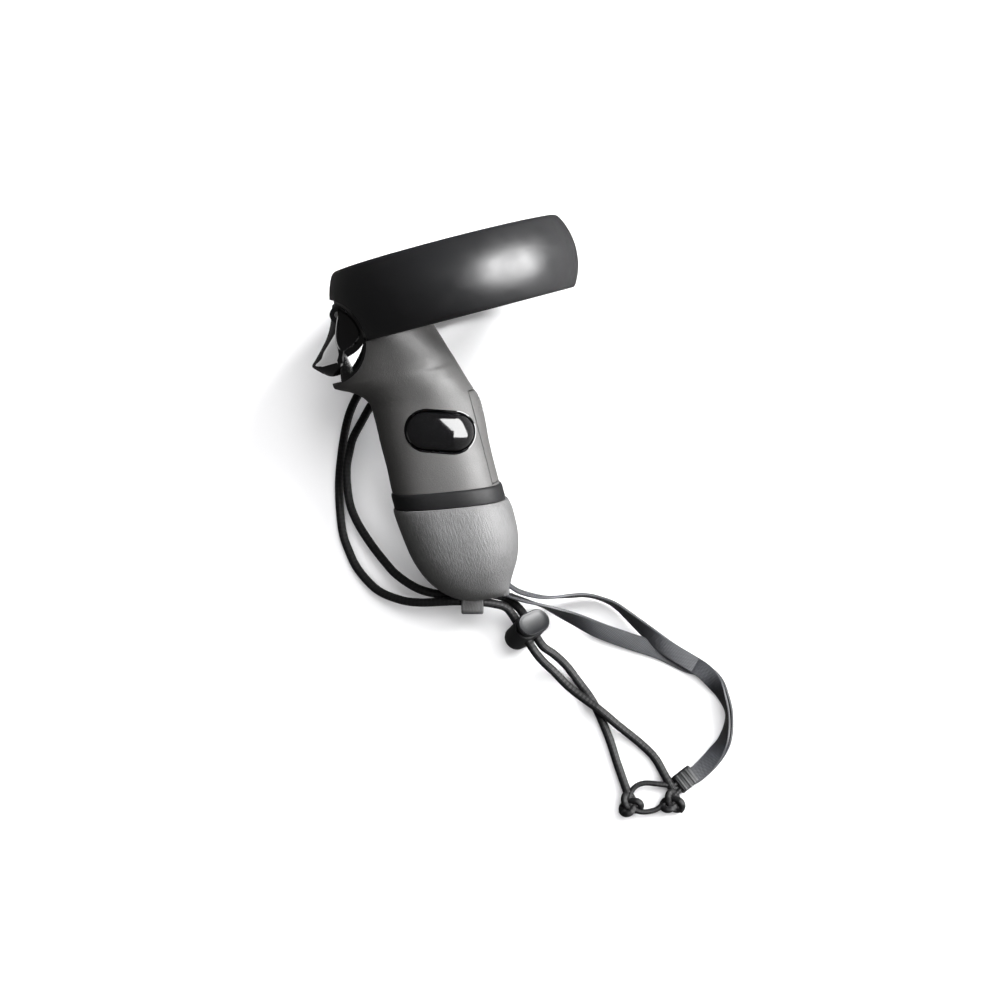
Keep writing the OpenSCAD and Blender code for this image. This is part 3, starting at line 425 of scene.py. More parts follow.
def inset(outline, distance):
    """The outline moved inwards by distance, corner by corner."""
    if not distance:
        return outline.copy()
    before, after = np.roll(outline, 1, axis=0), np.roll(outline, -1, axis=0)
    one, two = outline - before, after - outline
    one = one / np.linalg.norm(one, axis=1)[:, None]
    two = two / np.linalg.norm(two, axis=1)[:, None]
    left = np.stack([-(one + two)[:, 1], (one + two)[:, 0]], axis=1)
    size = np.linalg.norm(left, axis=1)[:, None]
    left = left / size
    area = np.sum(outline[:, 0] * after[:, 1] - after[:, 0] * outline[:, 1])
    reach = distance / np.clip(np.sum(left * np.stack([-one[:, 1], one[:, 0]], axis=1), axis=1), 0.5, 1)
    return outline + left * reach[:, None] * (1 if area > 0 else -1)


def circle(radius, centre=(0, 0), steps=96, start=0.0, end=360.0):
    span = end - start
    count = steps if abs(span) >= 360 else steps + 1
    turns = [math.radians(start + span * i / steps) for i in range(count)]
    return [(centre[0] + radius * math.cos(a), centre[1] + radius * math.sin(a)) for a in turns]


def stadium(length, width, steps=20, centre=(0, 0)):
    straight = (length - width) / 2
    right = circle(width / 2, (centre[0] + straight, centre[1]), steps, -90, 90)
    left = circle(width / 2, (centre[0] - straight, centre[1]), steps, 90, 270)
    return right + left


def smooth_line(points, steps):
    """A smooth open line through points of any size, with steps parts to each stretch."""
    p = np.array(points, float)
    last = len(p) - 1
    out = []
    for i in range(last):
        a, b, c, d = p[max(i - 1, 0)], p[i], p[i + 1], p[min(i + 2, last)]
        for k in range(steps):
            t = k / steps
            bend, twist = 2 * a - 5 * b + 4 * c - d, 3 * b - a - 3 * c + d
            out.append(0.5 * (2 * b + (c - a) * t + bend * t * t + twist * t * t * t))
    out.append(p[last])
    return np.array(out)


def unit(rows):
    return rows / np.linalg.norm(rows, axis=1)[:, None]


def ahead(path):
    """Each point's step from the point before it to the one after it."""
    ends = np.clip(np.arange(len(path)) + 1, 0, len(path) - 1)
    starts = np.clip(np.arange(len(path)) - 1, 0, len(path) - 1)
    return path[ends] - path[starts]


def carried_frames(path):
    """The side and up of each path point, carried along without twist."""
    direction, side, sides = unit(ahead(path)), np.array([0.0, 0.0, 1.0]), []
    for d in direction:
        side = side - np.dot(side, d) * d
        side = side / np.linalg.norm(side)
        sides.append(side)
    sides = np.array(sides)
    return sides, np.cross(direction, sides)


def swept(path, radii, side, up, sides):
    """Round rings along a path."""
    angles = np.arange(sides) * 2 * math.pi / sides
    return [
        path[i] + radii[i] * (np.outer(np.cos(angles), side[i]) + np.outer(np.sin(angles), up[i]))
        for i in range(len(path))
    ]


def mark(obj, name, kind, values):
    layer = obj.data.attributes.new(name, kind, "POINT")
    key = "vector" if kind == "FLOAT_VECTOR" else "value"
    layer.data.foreach_set(key, np.array(values, np.float32).ravel())


def run_of(path):
    steps = np.linalg.norm(np.diff(path, axis=0), axis=1)
    return np.concatenate([[0.0], np.cumsum(steps)])


def mark_braid(obj, paths, sides):
    """The braid's own along and around, for each of the sweeps that obj is made of."""
    mark(obj, "along", "FLOAT", np.concatenate([np.repeat(run_of(path), sides) for path in paths]))
    angles = np.arange(sides) * 2 * math.pi / sides
    around = np.stack([np.cos(angles), np.sin(angles), np.zeros(sides)], axis=1)
    mark(obj, "around", "FLOAT_VECTOR", np.tile(around, (sum(len(path) for path in paths), 1)))


def tube(name, path, size, slot, body, node, sides=14):
    """A round cord swept along a path."""
    rings = swept(path, [size / 2] * len(path), *carried_frames(path), sides)
    obj = piece(name, loft(rings), slot, body, node, LAID, 60)
    mark_braid(obj, [path], sides)
    return obj


# ---------- cords ----------
CORD_SIZE = 3.2
LOOP_SIZE = 2.0
HAND_ROUTE = [
    (11.1, -72.3, 13.7), (6, -72.1, 13.4), (0, -72.2, 11.9), (-7.6, -72.2, 9.4),
    (-15.2, -70.9, 6.6), (-24.1, -66.9, 3.9), (-31.5, -59.1, 2.2), (-35.5, -51.4, 1.6),
    (-38, -43.7, 1.6), (-39.3, -32.1, 1.6), (-39.3, -20.8, 2.3), (-37.2, -6, 5.6),
    (-34.3, 3, 8.8), (-29.8, 11, 10.2), (-25.2, 17.8, 10.9), (-23.7, 22.1, 11.3),
    (-22.5, 25, 12.1), (-19.5, 26.2, 12.5), (-16.5, 25, 12.1), (-15.3, 22.1, 11.3),
    (-16.9, 18, 11.2), (-21.3, 11.4, 11.8), (-26, 4.2, 12.2), (-30.2, -3, 11.1),
    (-33.6, -9.2, 9.6), (-35, -14, 8.3), (-36.2, -21.4, 6.9), (-35.2, -32.7, 5.7),
    (-32.4, -40.4, 5.6), (-27.7, -48.1, 5.9), (-21.8, -55.9, 6.8), (-16.4, -61.8, 7.8),
    (-8.4, -67, 9.2), (0, -69.2, 9.9), (6, -69, 10.6), (11.1, -69, 10.6),
]
TAIL_A_ROUTE = [
    (11.5, -72.3, 13.7), (15, -72.4, 13.6), (19.5, -72.9, 12.6), (24, -74, 11.4),
    (26.6, -76.6, 10.9), (30.6, -83.3, 11.4), (34.7, -90.1, 12), (38, -94, 9.6),
    (42.5, -98, 6.4), (48.3, -103.7, 5.1), (55.7, -109.3, 5), (59.5, -112, 4.9),
    (66.9, -118.1, 3.2), (74.4, -124, 1.8), (79.9, -129.5, 1.7), (83.4, -135.7, 2),
    (86.1, -140.9, 2.8),
]
TAIL_B_ROUTE = [
    (11.5, -69, 10.6), (15, -69, 10.5), (19.5, -69.2, 9.6), (24.5, -70.4, 7.7),
    (29.7, -74.7, 8.8), (33.8, -81.5, 9.4), (37.9, -88.3, 10.1), (42.5, -91.5, 7.8),
    (47, -95.4, 4.3), (52.1, -101.8, 2), (56.6, -108, 1.65), (59.9, -114.7, 1.65),
    (63.2, -122.9, 1.65), (66.1, -132.1, 1.65), (68.6, -139.5, 2.2), (69.6, -142.6, 2.8),
]
LOOP_ROUTE = [
    (89, -138.5, 2.1), (85.9, -139.6, 2.6), (81.4, -139.2, 3), (75.9, -138.8, 3),
    (72.2, -140.3, 3), (70.2, -143.7, 3), (70.5, -146.6, 3), (73.8, -149.2, 3),
    (79.4, -148.7, 2.6), (83.1, -146.3, 2.6), (86.6, -143.6, 2.6), (90.2, -140.2, 2.1),
]
KNOTS = {
    "cord_knot_a": ((86.1, -145.8, 2.85), 60, (4.0, -3.2, -0.6)),
    "cord_knot_b": ((70.5, -146.7, 2.85), 80, (-3.6, -3.4, -0.6)),
}
KNOT_SIZE, KNOT_STRAND = 1.32, 1.24
STUB_START, STUB_END = 1.3, 1.1


def knot(name):
    """An overhand knot with its cut end standing out."""
    at, degrees, end = KNOTS[name]
    t = np.radians(np.arange(0, 360, 5))
    line = KNOT_SIZE * np.stack(
        [np.sin(t) + 2 * np.sin(2 * t), np.cos(t) - 2 * np.cos(2 * t), -np.sin(3 * t)], axis=1
    )
    direction = unit(np.roll(line, -1, axis=0) - np.roll(line, 1, axis=0))
    side = unit(line - np.sum(line * direction, axis=1)[:, None] * direction)
    sides = 12
    rings = swept(line, [KNOT_STRAND] * len(line), side, np.cross(direction, side), sides)
    points, faces = loft(rings, closed=True)
    spun = [turn("Z", degrees) @ Vector(p) for p in points]
    stub = smooth_line([(0, 0, 0), np.array(end) * 0.5, np.array(end)], 5)
    radii = np.linspace(STUB_START, STUB_END, len(stub))
    both = joined((spun, faces), loft(swept(stub, radii, *carried_frames(stub), sides)))
    matrix = LAID @ Matrix.Translation(at)
    obj = piece("tied_" + name, both, "elastic_cord", "strap_cap", name, matrix, 60)
    mark_braid(obj, [line, stub], sides)
    return obj


def make_cords():
    hand_line = smooth_line(HAND_ROUTE, 8)
    hand = tube("elastic_hand_cord", hand_line, CORD_SIZE, "elastic_cord", None, "hand_cord")
    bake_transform(hand)
    for name, route in (("a", TAIL_A_ROUTE), ("b", TAIL_B_ROUTE)):
        line = smooth_line(route, 8)
        node = "tail_cord_" + name
        tail = tube("elastic_tail_" + name, line, CORD_SIZE, "elastic_cord", "strap_cap", node)
        knot("cord_knot_" + name)


make_cords()

# ---------- wrist band ----------
BAND_WIDTH = 6.3
BAND_THICK = 1.1
BAND_STEPS = 7
STACK_GAP = 0.62
STACK_ROUTE = [
    (92.5, -137, 1.7), (96.8, -134.3, 1.6), (102.4, -128.4, 2.7), (106.2, -122.4, 3.7),
    (107.8, -113.7, 3.9), (105.6, -106.3, 3.8), (102.4, -101, 2.9), (97.6, -96.4, 1.9),
]
STACK_WIDTH = [
    (0.66, -0.75, 0), (0.66, -0.75, 0.1), (0.7, -0.4, 0.5), (0.4, -0.1, 0.9),
    (0, 0, 1), (0.3, 0.1, 0.9), (0.7, 0.4, 0.5), (0.6, 0.75, 0.1),
]
FIRST_LEG = [
    (93.4, -93.8, 2.1), (86, -89.3, 2.7), (78.6, -83.5, 3.6), (71.1, -77, 3.9),
    (65.5, -72.5, 4.1), (59.8, -70, 4.4), (54.1, -69, 5.2), (48.4, -69.4, 6.6),
    (38.9, -70.2, 9.6), (30, -68.6, 12.2),
]
FIRST_WIDTH = [
    (0.5, 0.84, 0), (0.5, 0.8, 0.3), (0.4, 0.6, 0.7), (0.2, 0.3, 0.9),
    (0.1, 0.1, 1), (0, 0, 1), (0, 0, 1), (0, 0, 1), (0, -0.2, 1), (0, -0.29, 0.96),
]
PIN_TURN = [
    (25.6, -66.2, 13.4), (23.8, -65.9, 13.5), (22.3, -67, 13.2), (22.5, -68.8, 12.7),
    (24.2, -69.3, 12.5),
]
SECOND_LEG = [
    (30, -71.2, 11.6), (39, -73.6, 9), (45, -75.8, 6.6), (52.3, -78.8, 4.6),
    (59.9, -82.2, 3.3), (71.2, -86.1, 2.1), (82.4, -89.7, 1.1), (92.6, -94.6, 0.75),
]
SECOND_WIDTH = [
    (0, -0.29, 0.96), (0, 0, 1), (0.1, 0.3, 0.9), (0.2, 0.6, 0.7),
    (0.3, 0.8, 0.4), (0.35, 0.9, 0.2), (0.4, 0.9, 0.05), (0.5, 0.84, 0),
]


def layer(side):
    """One layer of the band's doubled end, to one side of the line that the two share."""
    route, width = np.array(STACK_ROUTE, float), np.array(STACK_WIDTH, float)
    return route + side * unit(np.cross(width, ahead(route)))


def rounded_strip(width, thick, corner, steps=3):
    """The (across, up) outline of a flat strip with rounded edges."""
    out = []
    for sx, sy, start in ((1, 1, 0), (-1, 1, 90), (-1, -1, 180), (1, -1, 270)):
        centre = (sx * (width / 2 - corner), sy * (thick / 2 - corner))
        out += circle(corner, centre, steps, start, start + 90)
    return np.array(out)


def make_band():
    pin_width = [(0, -0.29, 0.96)] * len(PIN_TURN)
    route = np.concatenate([layer(-STACK_GAP), FIRST_LEG, PIN_TURN, SECOND_LEG, layer(STACK_GAP)[::-1]])
    width = np.concatenate([STACK_WIDTH, FIRST_WIDTH, pin_width, SECOND_WIDTH, STACK_WIDTH[::-1]])
    line, across = smooth_line(route, BAND_STEPS), smooth_line(width, BAND_STEPS)
    direction = unit(ahead(line))
    across = unit(across - np.sum(across * direction, axis=1)[:, None] * direction)
    up = np.cross(direction, across)
    strip = rounded_strip(BAND_WIDTH, BAND_THICK, 0.35)
    rings = [
        line[i] + np.outer(strip[:, 0], across[i]) + np.outer(strip[:, 1], up[i])
        for i in range(len(line))
    ]
    run = run_of(line)
    middle = BAND_STEPS * (len(STACK_ROUTE) + len(FIRST_LEG) + 2)
    legs = []
    for name, part in (("upper", slice(0, middle + 1)), ("lower", slice(middle, None))):
        title, made = "woven_wrist_band_" + name, loft(rings[part])
        leg = piece(title, made, "band_webbing", "strap_cap", "wrist_band", LAID, 60)
        mark(leg, "along", "FLOAT", np.repeat(run[part], len(strip)))
        mark(leg, "across", "FLOAT", np.tile(strip[:, 0] / (BAND_WIDTH / 2), len(line[part])))
        legs.append((leg, line[part] if name == "lower" else line[part][::-1]))
    return legs


def rounded_box(low, high, edge, steps=3):
    """Points and faces of a box whose edges along Z and round its ends are rounded."""
    size = np.array(high, float) - np.array(low, float)
    middle = (np.array(high, float) + np.array(low, float)) / 2
    outline = rounded_strip(size[0], size[1], edge, steps) + middle[:2]
    return prism(outline, low[2], high[2], edge * 0.8)


def prism(outline, low, high, edge=0.0, steps=3):
    """A prism of an (x, y) outline between two heights, its edges rounded by edge."""
    outline = np.array(outline, float)
    levels = [(low, 0.0), (high, 0.0)]
    if edge:
        turns = [math.pi / 2 * k / steps for k in range(steps + 1)]
        levels = [(low + edge * (1 - math.sin(a)), edge * (1 - math.cos(a))) for a in reversed(turns)]
        levels += [(high - edge * (1 - math.sin(a)), edge * (1 - math.cos(a))) for a in turns]
    rings = [np.insert(inset(outline, d), 2, z, axis=1) for z, d in levels]
    return loft(rings)


def side_prism(outline, low, high, edge=0.0, steps=3):
    """The same, of an (x, z) outline between two depths along Y."""
    points, faces = prism(outline, low, high, edge, steps)
    return points[:, [0, 2, 1]], faces


def make_crimp():
    parts = [rounded_box((-4, -3.6, 0), (4, 3.6, 2.0), 0.5)]
    parts.append(rounded_box((-3.5, -3.3, 1.6), (3.5, 3.3, 3.8), 0.7))
    for x in (-2.2, -0.2, 1.8):
        parts.append(rounded_box((x - 0.45, -3.45, 0.4), (x + 0.45, 3.45, 3.95), 0.3, 2))
    return piece("strap_crimp_clip", joined(*parts), "lock_plastic", "strap_cap", "strap_crimp", CRIMP, 40)


crimp = make_crimp()
for leg, leg_line in make_band():
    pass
loop_line = smooth_line(LOOP_ROUTE, 8)
loop = tube("thin_loop_cord", loop_line, LOOP_SIZE, "loop_cord", "strap_cap", "loop_cord", 12)


# ---------- handle ----------
# height, front, back, half width, squareness, slope
SHELL_ROWS = [
    (-88.2, -9, 7.6, 6, 2.3, 0), (-87.6, -12.4, 10.8, 9.2, 2.3, 0), (-86, -16, 14, 12.4, 2.4, 0),
    (-82, -18.3, 16.2, 14.2, 2.4, 0), (-76, -19.9, 17.2, 14.8, 2.5, 0), (-69, -21, 17.5, 15.3, 2.6, 0),
    (-61.2, -21.4, 17.7, 15.5, 2.6, 0), (-54, -21.4, 17.7, 15.6, 2.6, 0), (-46, -21, 17.9, 15.7, 2.5, 0),
    (-38, -21, 18.5, 15.9, 2.5, 0), (-32, -20.8, 18.7, 16.2, 2.5, 0), (-29, -20.7, 18.3, 16.4, 2.5, 0),
    (-26.2, -20.7, 17.2, 16.7, 2.5, 0), (-23, -20.8, 16.1, 17.4, 2.4, 0),
    (-20.5, -21.8, 15.3, 18.1, 2.4, 0), (-18, -24, 14.6, 18.9, 2.3, 0), (-16, -27, 14, 19.6, 2.3, 0),
    (-14.3, -30.6, 13.5, 20.3, 2.2, 0), (-13.2, -32.2, 13.2, 20.8, 2.2, 0),
    (-11.5, -32.3, 12.6, 21.6, 2.2, 0), (-9, -31.4, 11.8, 22.8, 2.2, 0), (-5, -29.4, 10.6, 24.5, 2.2, 0),
    (-2, -27.4, 9.6, 25.5, 2.2, 0), (0.4, -26, 8.9, 26, 2.2, 0),
]
CAP_ROWS = [
    (-102.2, -5.6, 10, 5.5, 2.2, -0.1), (-101.2, -8, 11, 7.6, 2.2, -0.1),
    (-99.6, -10.8, 11.8, 9.8, 2.3, -0.11), (-97, -14, 12.8, 12.2, 2.3, -0.12),
    (-93.5, -16.8, 14.6, 14.3, 2.4, -0.13), (-89, -19.2, 16.9, 16.2, 2.4, -0.14),
    (-83, -21, 18.9, 17.5, 2.5, -0.15), (-76, -22, 20, 18, 2.5, -0.16),
    (-70, -22.6, 20.1, 17.9, 2.5, -0.16), (-66.4, -22.8, 19.6, 17.5, 2.5, -0.16),
    (-65.4, -22.6, 19.2, 17.2, 2.5, -0.16),
]
CAP_INSIDE_ROWS = [
    (-96.6, -10.6, 10, 9.4, 2.3, -0.12), (-93.5, -14.6, 12.6, 12.2, 2.4, -0.13),
    (-89, -17.2, 15, 14.2, 2.4, -0.14), (-83, -19.2, 17, 15.4, 2.5, -0.15),
    (-76, -20.6, 18, 15.6, 2.5, -0.16), (-70, -21.5, 17.9, 15.7, 2.6, -0.16),
    (-65.4, -21.6, 18, 15.75, 2.6, -0.16),
]
WALL = 2.0
COVER_PLANE = 15.3
COVER_LOW, COVER_TOP = -61.1, -26.0
COVER_WALL = 1.4
RIBS_LOW, RIBS_TOP, RIB_PITCH, RIB_DEPTH = -35.3, -28.7, 1.32, 0.2
OPENING_AT, OPENING_RADIUS = (-29.3, 3.4), 15.2
RING_AXIS = (20.2, 0.0, 0.0)
RING_RADIUS, RING_LOW, RING_HEIGHT, RING_BULGE = 45.9, 0.4, 26.8, 3.9
RING_TOP = RING_LOW + RING_HEIGHT
RING_INSIDE, RING_WALL, LIP = 38.8, 1.5, 1.3
GRIP_AT, GRIP_TURN = (2.1, 0.0, -37.4), -19
GRIP = HANDLE @ Matrix.Translation(GRIP_AT) @ turn("X", 90) @ turn("Z", GRIP_TURN)
GRIP_LENGTH, GRIP_WIDTH = 25.9, 15.9
TRIGGER_PIVOT = (-22.5, 12.0)


def eased(rows):
    """A smooth reading of a table of sections at any height, without overshoot."""
    table = np.array(rows, float)
    x, step = table[:, 0], np.diff(table[:, 0])
    slope = np.diff(table, axis=0) / step[:, None]
    tangent = np.zeros_like(table)
    tangent[0], tangent[-1] = slope[0], slope[-1]
    for i in range(1, len(x) - 1):
        a, b = slope[i - 1], slope[i]
        w1, w2 = 2 * step[i] + step[i - 1], step[i] + 2 * step[i - 1]
        same = a * b > 0
        tangent[i][same] = (w1 + w2) / (w1 / a[same] + w2 / b[same])

    def read(z):
        i = int(np.clip(np.searchsorted(x, z) - 1, 0, len(x) - 2))
        h, t = step[i], (z - x[i]) / step[i]
        row = (2 * t**3 - 3 * t**2 + 1) * table[i] + (t**3 - 2 * t**2 + t) * h * tangent[i]
        row += (3 * t**2 - 2 * t**3) * table[i + 1] + (t**3 - t**2) * h * tangent[i + 1]
        row[0] = z
        return row

    return read


shell_row, cap_row, cap_inside_row = eased(SHELL_ROWS), eased(CAP_ROWS), eased(CAP_INSIDE_ROWS)


def section(row, degrees, inwards=0.0):
    """Points of a rounded section at these angles, 0 at the back and 180 at the front."""
    z, front, back, half, square, slope = row
    t = np.radians(np.asarray(degrees, float))
    reach = (back - front) / 2 - inwards
    power = 2 / square
    x = (front + back) / 2 + reach * np.sign(np.cos(t)) * np.abs(np.cos(t)) ** power
    y = (half - inwards) * np.sign(np.sin(t)) * np.abs(np.sin(t)) ** power
    return np.stack([x, y, z + slope * x], axis=1)


def plane_angle(row, x, inwards):
    middle, reach = (row[1] + row[2]) / 2, (row[2] - row[1]) / 2 - inwards
    return math.degrees(math.acos(min(1.0, (x - middle) / reach) ** (row[4] / 2)))


def fine_steps(marks, step):
    """Heights through these marks, no further apart than step."""
    out = [marks[0]]
    for low, high in zip(marks, marks[1:]):
        count = max(1, math.ceil((high - low) / step))
        out += [low + (high - low) * k / count for k in range(1, count + 1)]
    return out


ARC = np.concatenate([[0, 0.0025], np.linspace(0.01, 0.99, 56), [0.9975, 1]])
GROOVE = 0.4
BLEND_ANGLE = 20.0
SCREW_SPOTS = ((-15.5, -52, 11.2), (5, -5.5, 15.6), (-15.5, -20.5, 13))  # x, z, seat depth


def half_shell(side):
    """One half of the handle: a wall with a fine groove along its parting lines."""
    heights = fine_steps([-88.2, -86, COVER_LOW - 0.1], 1.6)
    heights += fine_steps([COVER_LOW, COVER_TOP - 0.1], 1.1)
    heights += fine_steps([COVER_TOP, -20, -10, 0.4], 0.6)
    degrees, rings = 180 * (1 - ARC), []

    def held(stop):
        """The same angles for every row, those near an open edge drawn in to it."""
        near = stop + BLEND_ANGLE
        return np.where(degrees > near, degrees, stop + degrees * BLEND_ANGLE / near)

    for z in heights:
        row = shell_row(z)
        opened = COVER_LOW - 0.01 <= z <= COVER_TOP - 0.09
        stop = plane_angle(row, COVER_PLANE, 0) if opened else 0.0
        stop_in = plane_angle(row, COVER_PLANE, WALL) if opened else 0.0
        outer = section(row, held(stop))
        lower = section(row, held(stop), GROOVE)
        outer[0], outer[-1] = lower[0], lower[-1]
        if z > 0.3:
            outer = section(row, held(stop), 0.15)
        inner = section(row, held(stop_in)[::-1], WALL)
        ring = np.concatenate([outer, inner])
        ring[:, 1] = side * np.maximum(ring[:, 1], 0.02)
        rings.append(ring)
    return loft(rings)


def opening_tool():
    return shape(*side_prism(circle(OPENING_RADIUS, OPENING_AT, 180), -50, 50))


def make_handle():
    halves = []
    for name, side in (("left", -1), ("right", 1)):
        node = "handle_shell_" + name
        halves.append(piece("handle_skin_" + name, half_shell(side), "body_grey", "handle", node))
    for half in halves:
        carve(half, opening_tool())
    carve(halves[0], shape(*prism(stadium(GRIP_LENGTH, GRIP_WIDTH), 8, 24), GRIP))
    for x, z, seat in SCREW_SPOTS:
        carve(halves[1], shape(*side_prism(circle(2.3, (x, z), 40), seat, seat + 14)))


def make_cover():
    """The battery cover, with a ribbed thumb rest near its upper end."""
    low, top = -60.9, -26.4
    rings = []
    marks = [low, low + 0.25, -35.5, -28.5, top - 0.25, top]
    heights = fine_steps(marks[:3], 1.2) + fine_steps(marks[2:4], 0.25)[1:]
    heights += fine_steps(marks[3:], 0.6)[1:]
    for z in heights:
        row = shell_row(z)
        edge = 0.25 if z in (low, top) else 0.0
        out = plane_angle(row, COVER_PLANE + 0.15, edge)
        inner = plane_angle(row, COVER_PLANE + 0.15, COVER_WALL)
        share = np.concatenate([[-1, -0.975], np.linspace(-0.94, 0.94, 44), [0.975, 1]])
        outer = section(row, out * share, edge)
        dip = section(row, out * share, edge + 0.45)
        outer[0], outer[-1] = dip[0], dip[-1]
        if RIBS_LOW < z < RIBS_TOP:
            rib = 0.5 - 0.5 * math.cos(2 * math.pi * (z - RIBS_LOW) / RIB_PITCH)
            pressed = section(row, out * share, edge + RIB_DEPTH * rib)
            fade = np.clip((0.62 - np.abs(share)) / 0.12, 0, 1)[:, None]
            outer = outer * (1 - fade) + pressed * fade
        rings.append(np.concatenate([outer, section(row, inner * share[::-1], COVER_WALL)]))
    piece("battery_cover_skin", loft(rings), "body_grey", "battery_cover", "battery_cover")


def side_radius(z, inwards=0.0):
    middle = (RING_LOW + RING_TOP) / 2
    curve = (RING_HEIGHT**2 / 4 + RING_BULGE**2) / (2 * RING_BULGE)
    return RING_RADIUS - curve + math.sqrt((curve - inwards) ** 2 - (z - middle) ** 2)


def ring_profile():
    """The outer shell's closed profile of (radius, height)."""
    edge = 0.7
    out = [(side_radius(z), z) for z in np.linspace(RING_LOW + edge, RING_TOP - edge, 33)]
    top = side_radius(RING_TOP)
    out += [
        (top - 0.12, RING_TOP - 0.28), (top - 0.38, RING_TOP - 0.06), (top - 0.7, RING_TOP),
        (RING_INSIDE + 1.75, RING_TOP), (RING_INSIDE + 1.6, RING_TOP - 0.3),
        (RING_INSIDE + 1.35, RING_TOP - 0.3), (RING_INSIDE + 1.2, RING_TOP),
        (RING_INSIDE + 0.35, RING_TOP), (RING_INSIDE + 0.1, RING_TOP - 0.1),
        (RING_INSIDE, RING_TOP - 0.35), (RING_INSIDE, RING_TOP - LIP),
    ]
    out += [(side_radius(z, RING_WALL), z) for z in np.linspace(RING_TOP - LIP, RING_LOW + LIP, 13)]
    out += [
        (RING_INSIDE, RING_LOW + LIP), (RING_INSIDE, RING_LOW + 0.35),
        (RING_INSIDE + 0.1, RING_LOW + 0.1), (RING_INSIDE + 0.35, RING_LOW),
        (top - 0.7, RING_LOW), (top - 0.38, RING_LOW + 0.06), (top - 0.12, RING_LOW + 0.28),
    ]
    return out


def make_ring():
    made = lathe(ring_profile(), 220, RING_AXIS)
    ring = piece("ring_skin", made, "ring_plastic", "handle", "ring_outer_shell", sharp=28)
    carve(ring, opening_tool(), sharp=28)


make_handle()
make_cover()
make_ring()


# ---------- trigger ----------
TRIGGER_HUB = (-25.0, 9.0)
HUB_RADIUS = 10.0
HUB_CLEARANCE = 2.4  # between the hub and the wall of the opening, for the whole pull
TRIGGER_HALF = 13.0
TRIGGER_FLAT = 4.0
MIDDLE_FRONT = [
    (-23.4, 16.3), (-24.6, 16.0), (-25.4, 13.6), (-26.6, 10.6), (-28.1, 7.5), (-30.2, 4.4),
    (-32.9, 1.4), (-35.3, -1.1), (-37.1, -2.8), (-37.5, -3.7), (-36.9, -4.7),
]
SIDE_FRONT = [
    (-21.6, 15.9), (-21.8, 15.0), (-22.4, 12.8), (-23.5, 10.4), (-24.5, 8.0), (-25.5, 5.2),
    (-25.9, 2.6), (-26.1, 0.2), (-26.9, -2.0), (-28.0, -3.6), (-27.8, -4.4),
]
MIDDLE_UNDER = [(-34.6, -6.9), (-31.8, -8.8), (-28.6, -9.0), (-24.6, -8.4)]
SIDE_UNDER = [(-26.4, -4.9), (-25.4, -5.2), (-24.4, -5.6), (-23.2, -6.0)]
BACK = [(-23.2, -4.8), (-22.2, 0), (-20.8, 5), (-20, 8.4), (-19.8, 12), (-20.8, 14.2)]


def trigger_outline(share):
    """The trigger's (x, z) outline, share 0 in its middle and 1 at its sides."""
    mix = lambda a, b: np.array(a) * (1 - share) + np.array(b) * share
    front = smooth_line(mix(MIDDLE_FRONT, SIDE_FRONT), 4)
    under = smooth_line(mix(MIDDLE_UNDER, SIDE_UNDER), 3)
    return np.concatenate([front, under, np.array(BACK, float)])


def held_inside(point, centre, radius):
    """The point, drawn in to this circle where it lies outside."""
    arm = np.array(point, float) - centre
    return tuple(np.array(centre) + arm * min(1.0, radius / np.linalg.norm(arm)))


def make_trigger():
    spots = np.concatenate([[0, 1.5, 3, 4.4], np.linspace(5.4, TRIGGER_HALF, 20)])
    depths = np.concatenate([-spots[::-1], spots[1:]])
    rings = []
    for y in depths:
        share = max(0.0, (abs(y) - TRIGGER_FLAT) / (TRIGGER_HALF - TRIGGER_FLAT)) ** 1.9
        rings.append(np.insert(trigger_outline(share), 1, y, axis=1))
    hub = [(-18.4, 16.2), (-19.6, 16.4), (-20.9, 15.2), (-22.4, 12.4), (-24.2, 8.5), (-25.4, 5.0)]
    hub += [(-25.7, 2.2), (-25.4, 0.2)]
    hub = [tuple(p) for p in smooth_line(hub, 4)]
    hub += circle(HUB_RADIUS, TRIGGER_HUB, 30, -86, 44)
    hub = [held_inside(p, OPENING_AT, OPENING_RADIUS - HUB_CLEARANCE) for p in hub]
    parts = [loft(rings)]
    for side in (-1, 1):
        parts.append(side_prism(hub, *sorted((side * 14.6, side * 16.0)), 0.4))
        parts.append(side_prism(circle(3.0, TRIGGER_PIVOT, 40), *sorted((side * 12.0, side * 15.0))))
    piece("trigger_lever", joined(*parts), "gloss_black", "trigger", "trigger", sharp=38)


def head_core(inwards):
    """A solid inside the outside of the ring and the head, drawn inwards."""
    profile = [(0.05, RING_LOW - 0.01)]
    profile += [(side_radius(z, inwards), z) for z in np.linspace(RING_LOW - 0.01, RING_TOP, 17)]
    profile += [(0.05, RING_TOP)]
    ring = shape(*lathe(profile, 120, RING_AXIS))
    rows = [shell_row(z) for z in fine_steps([-16.5, 0.4], 1.2)]
    head = shape(*loft([section(r, np.arange(0, 360, 3), inwards) for r in rows]))
    return carve(ring, head, "UNION")


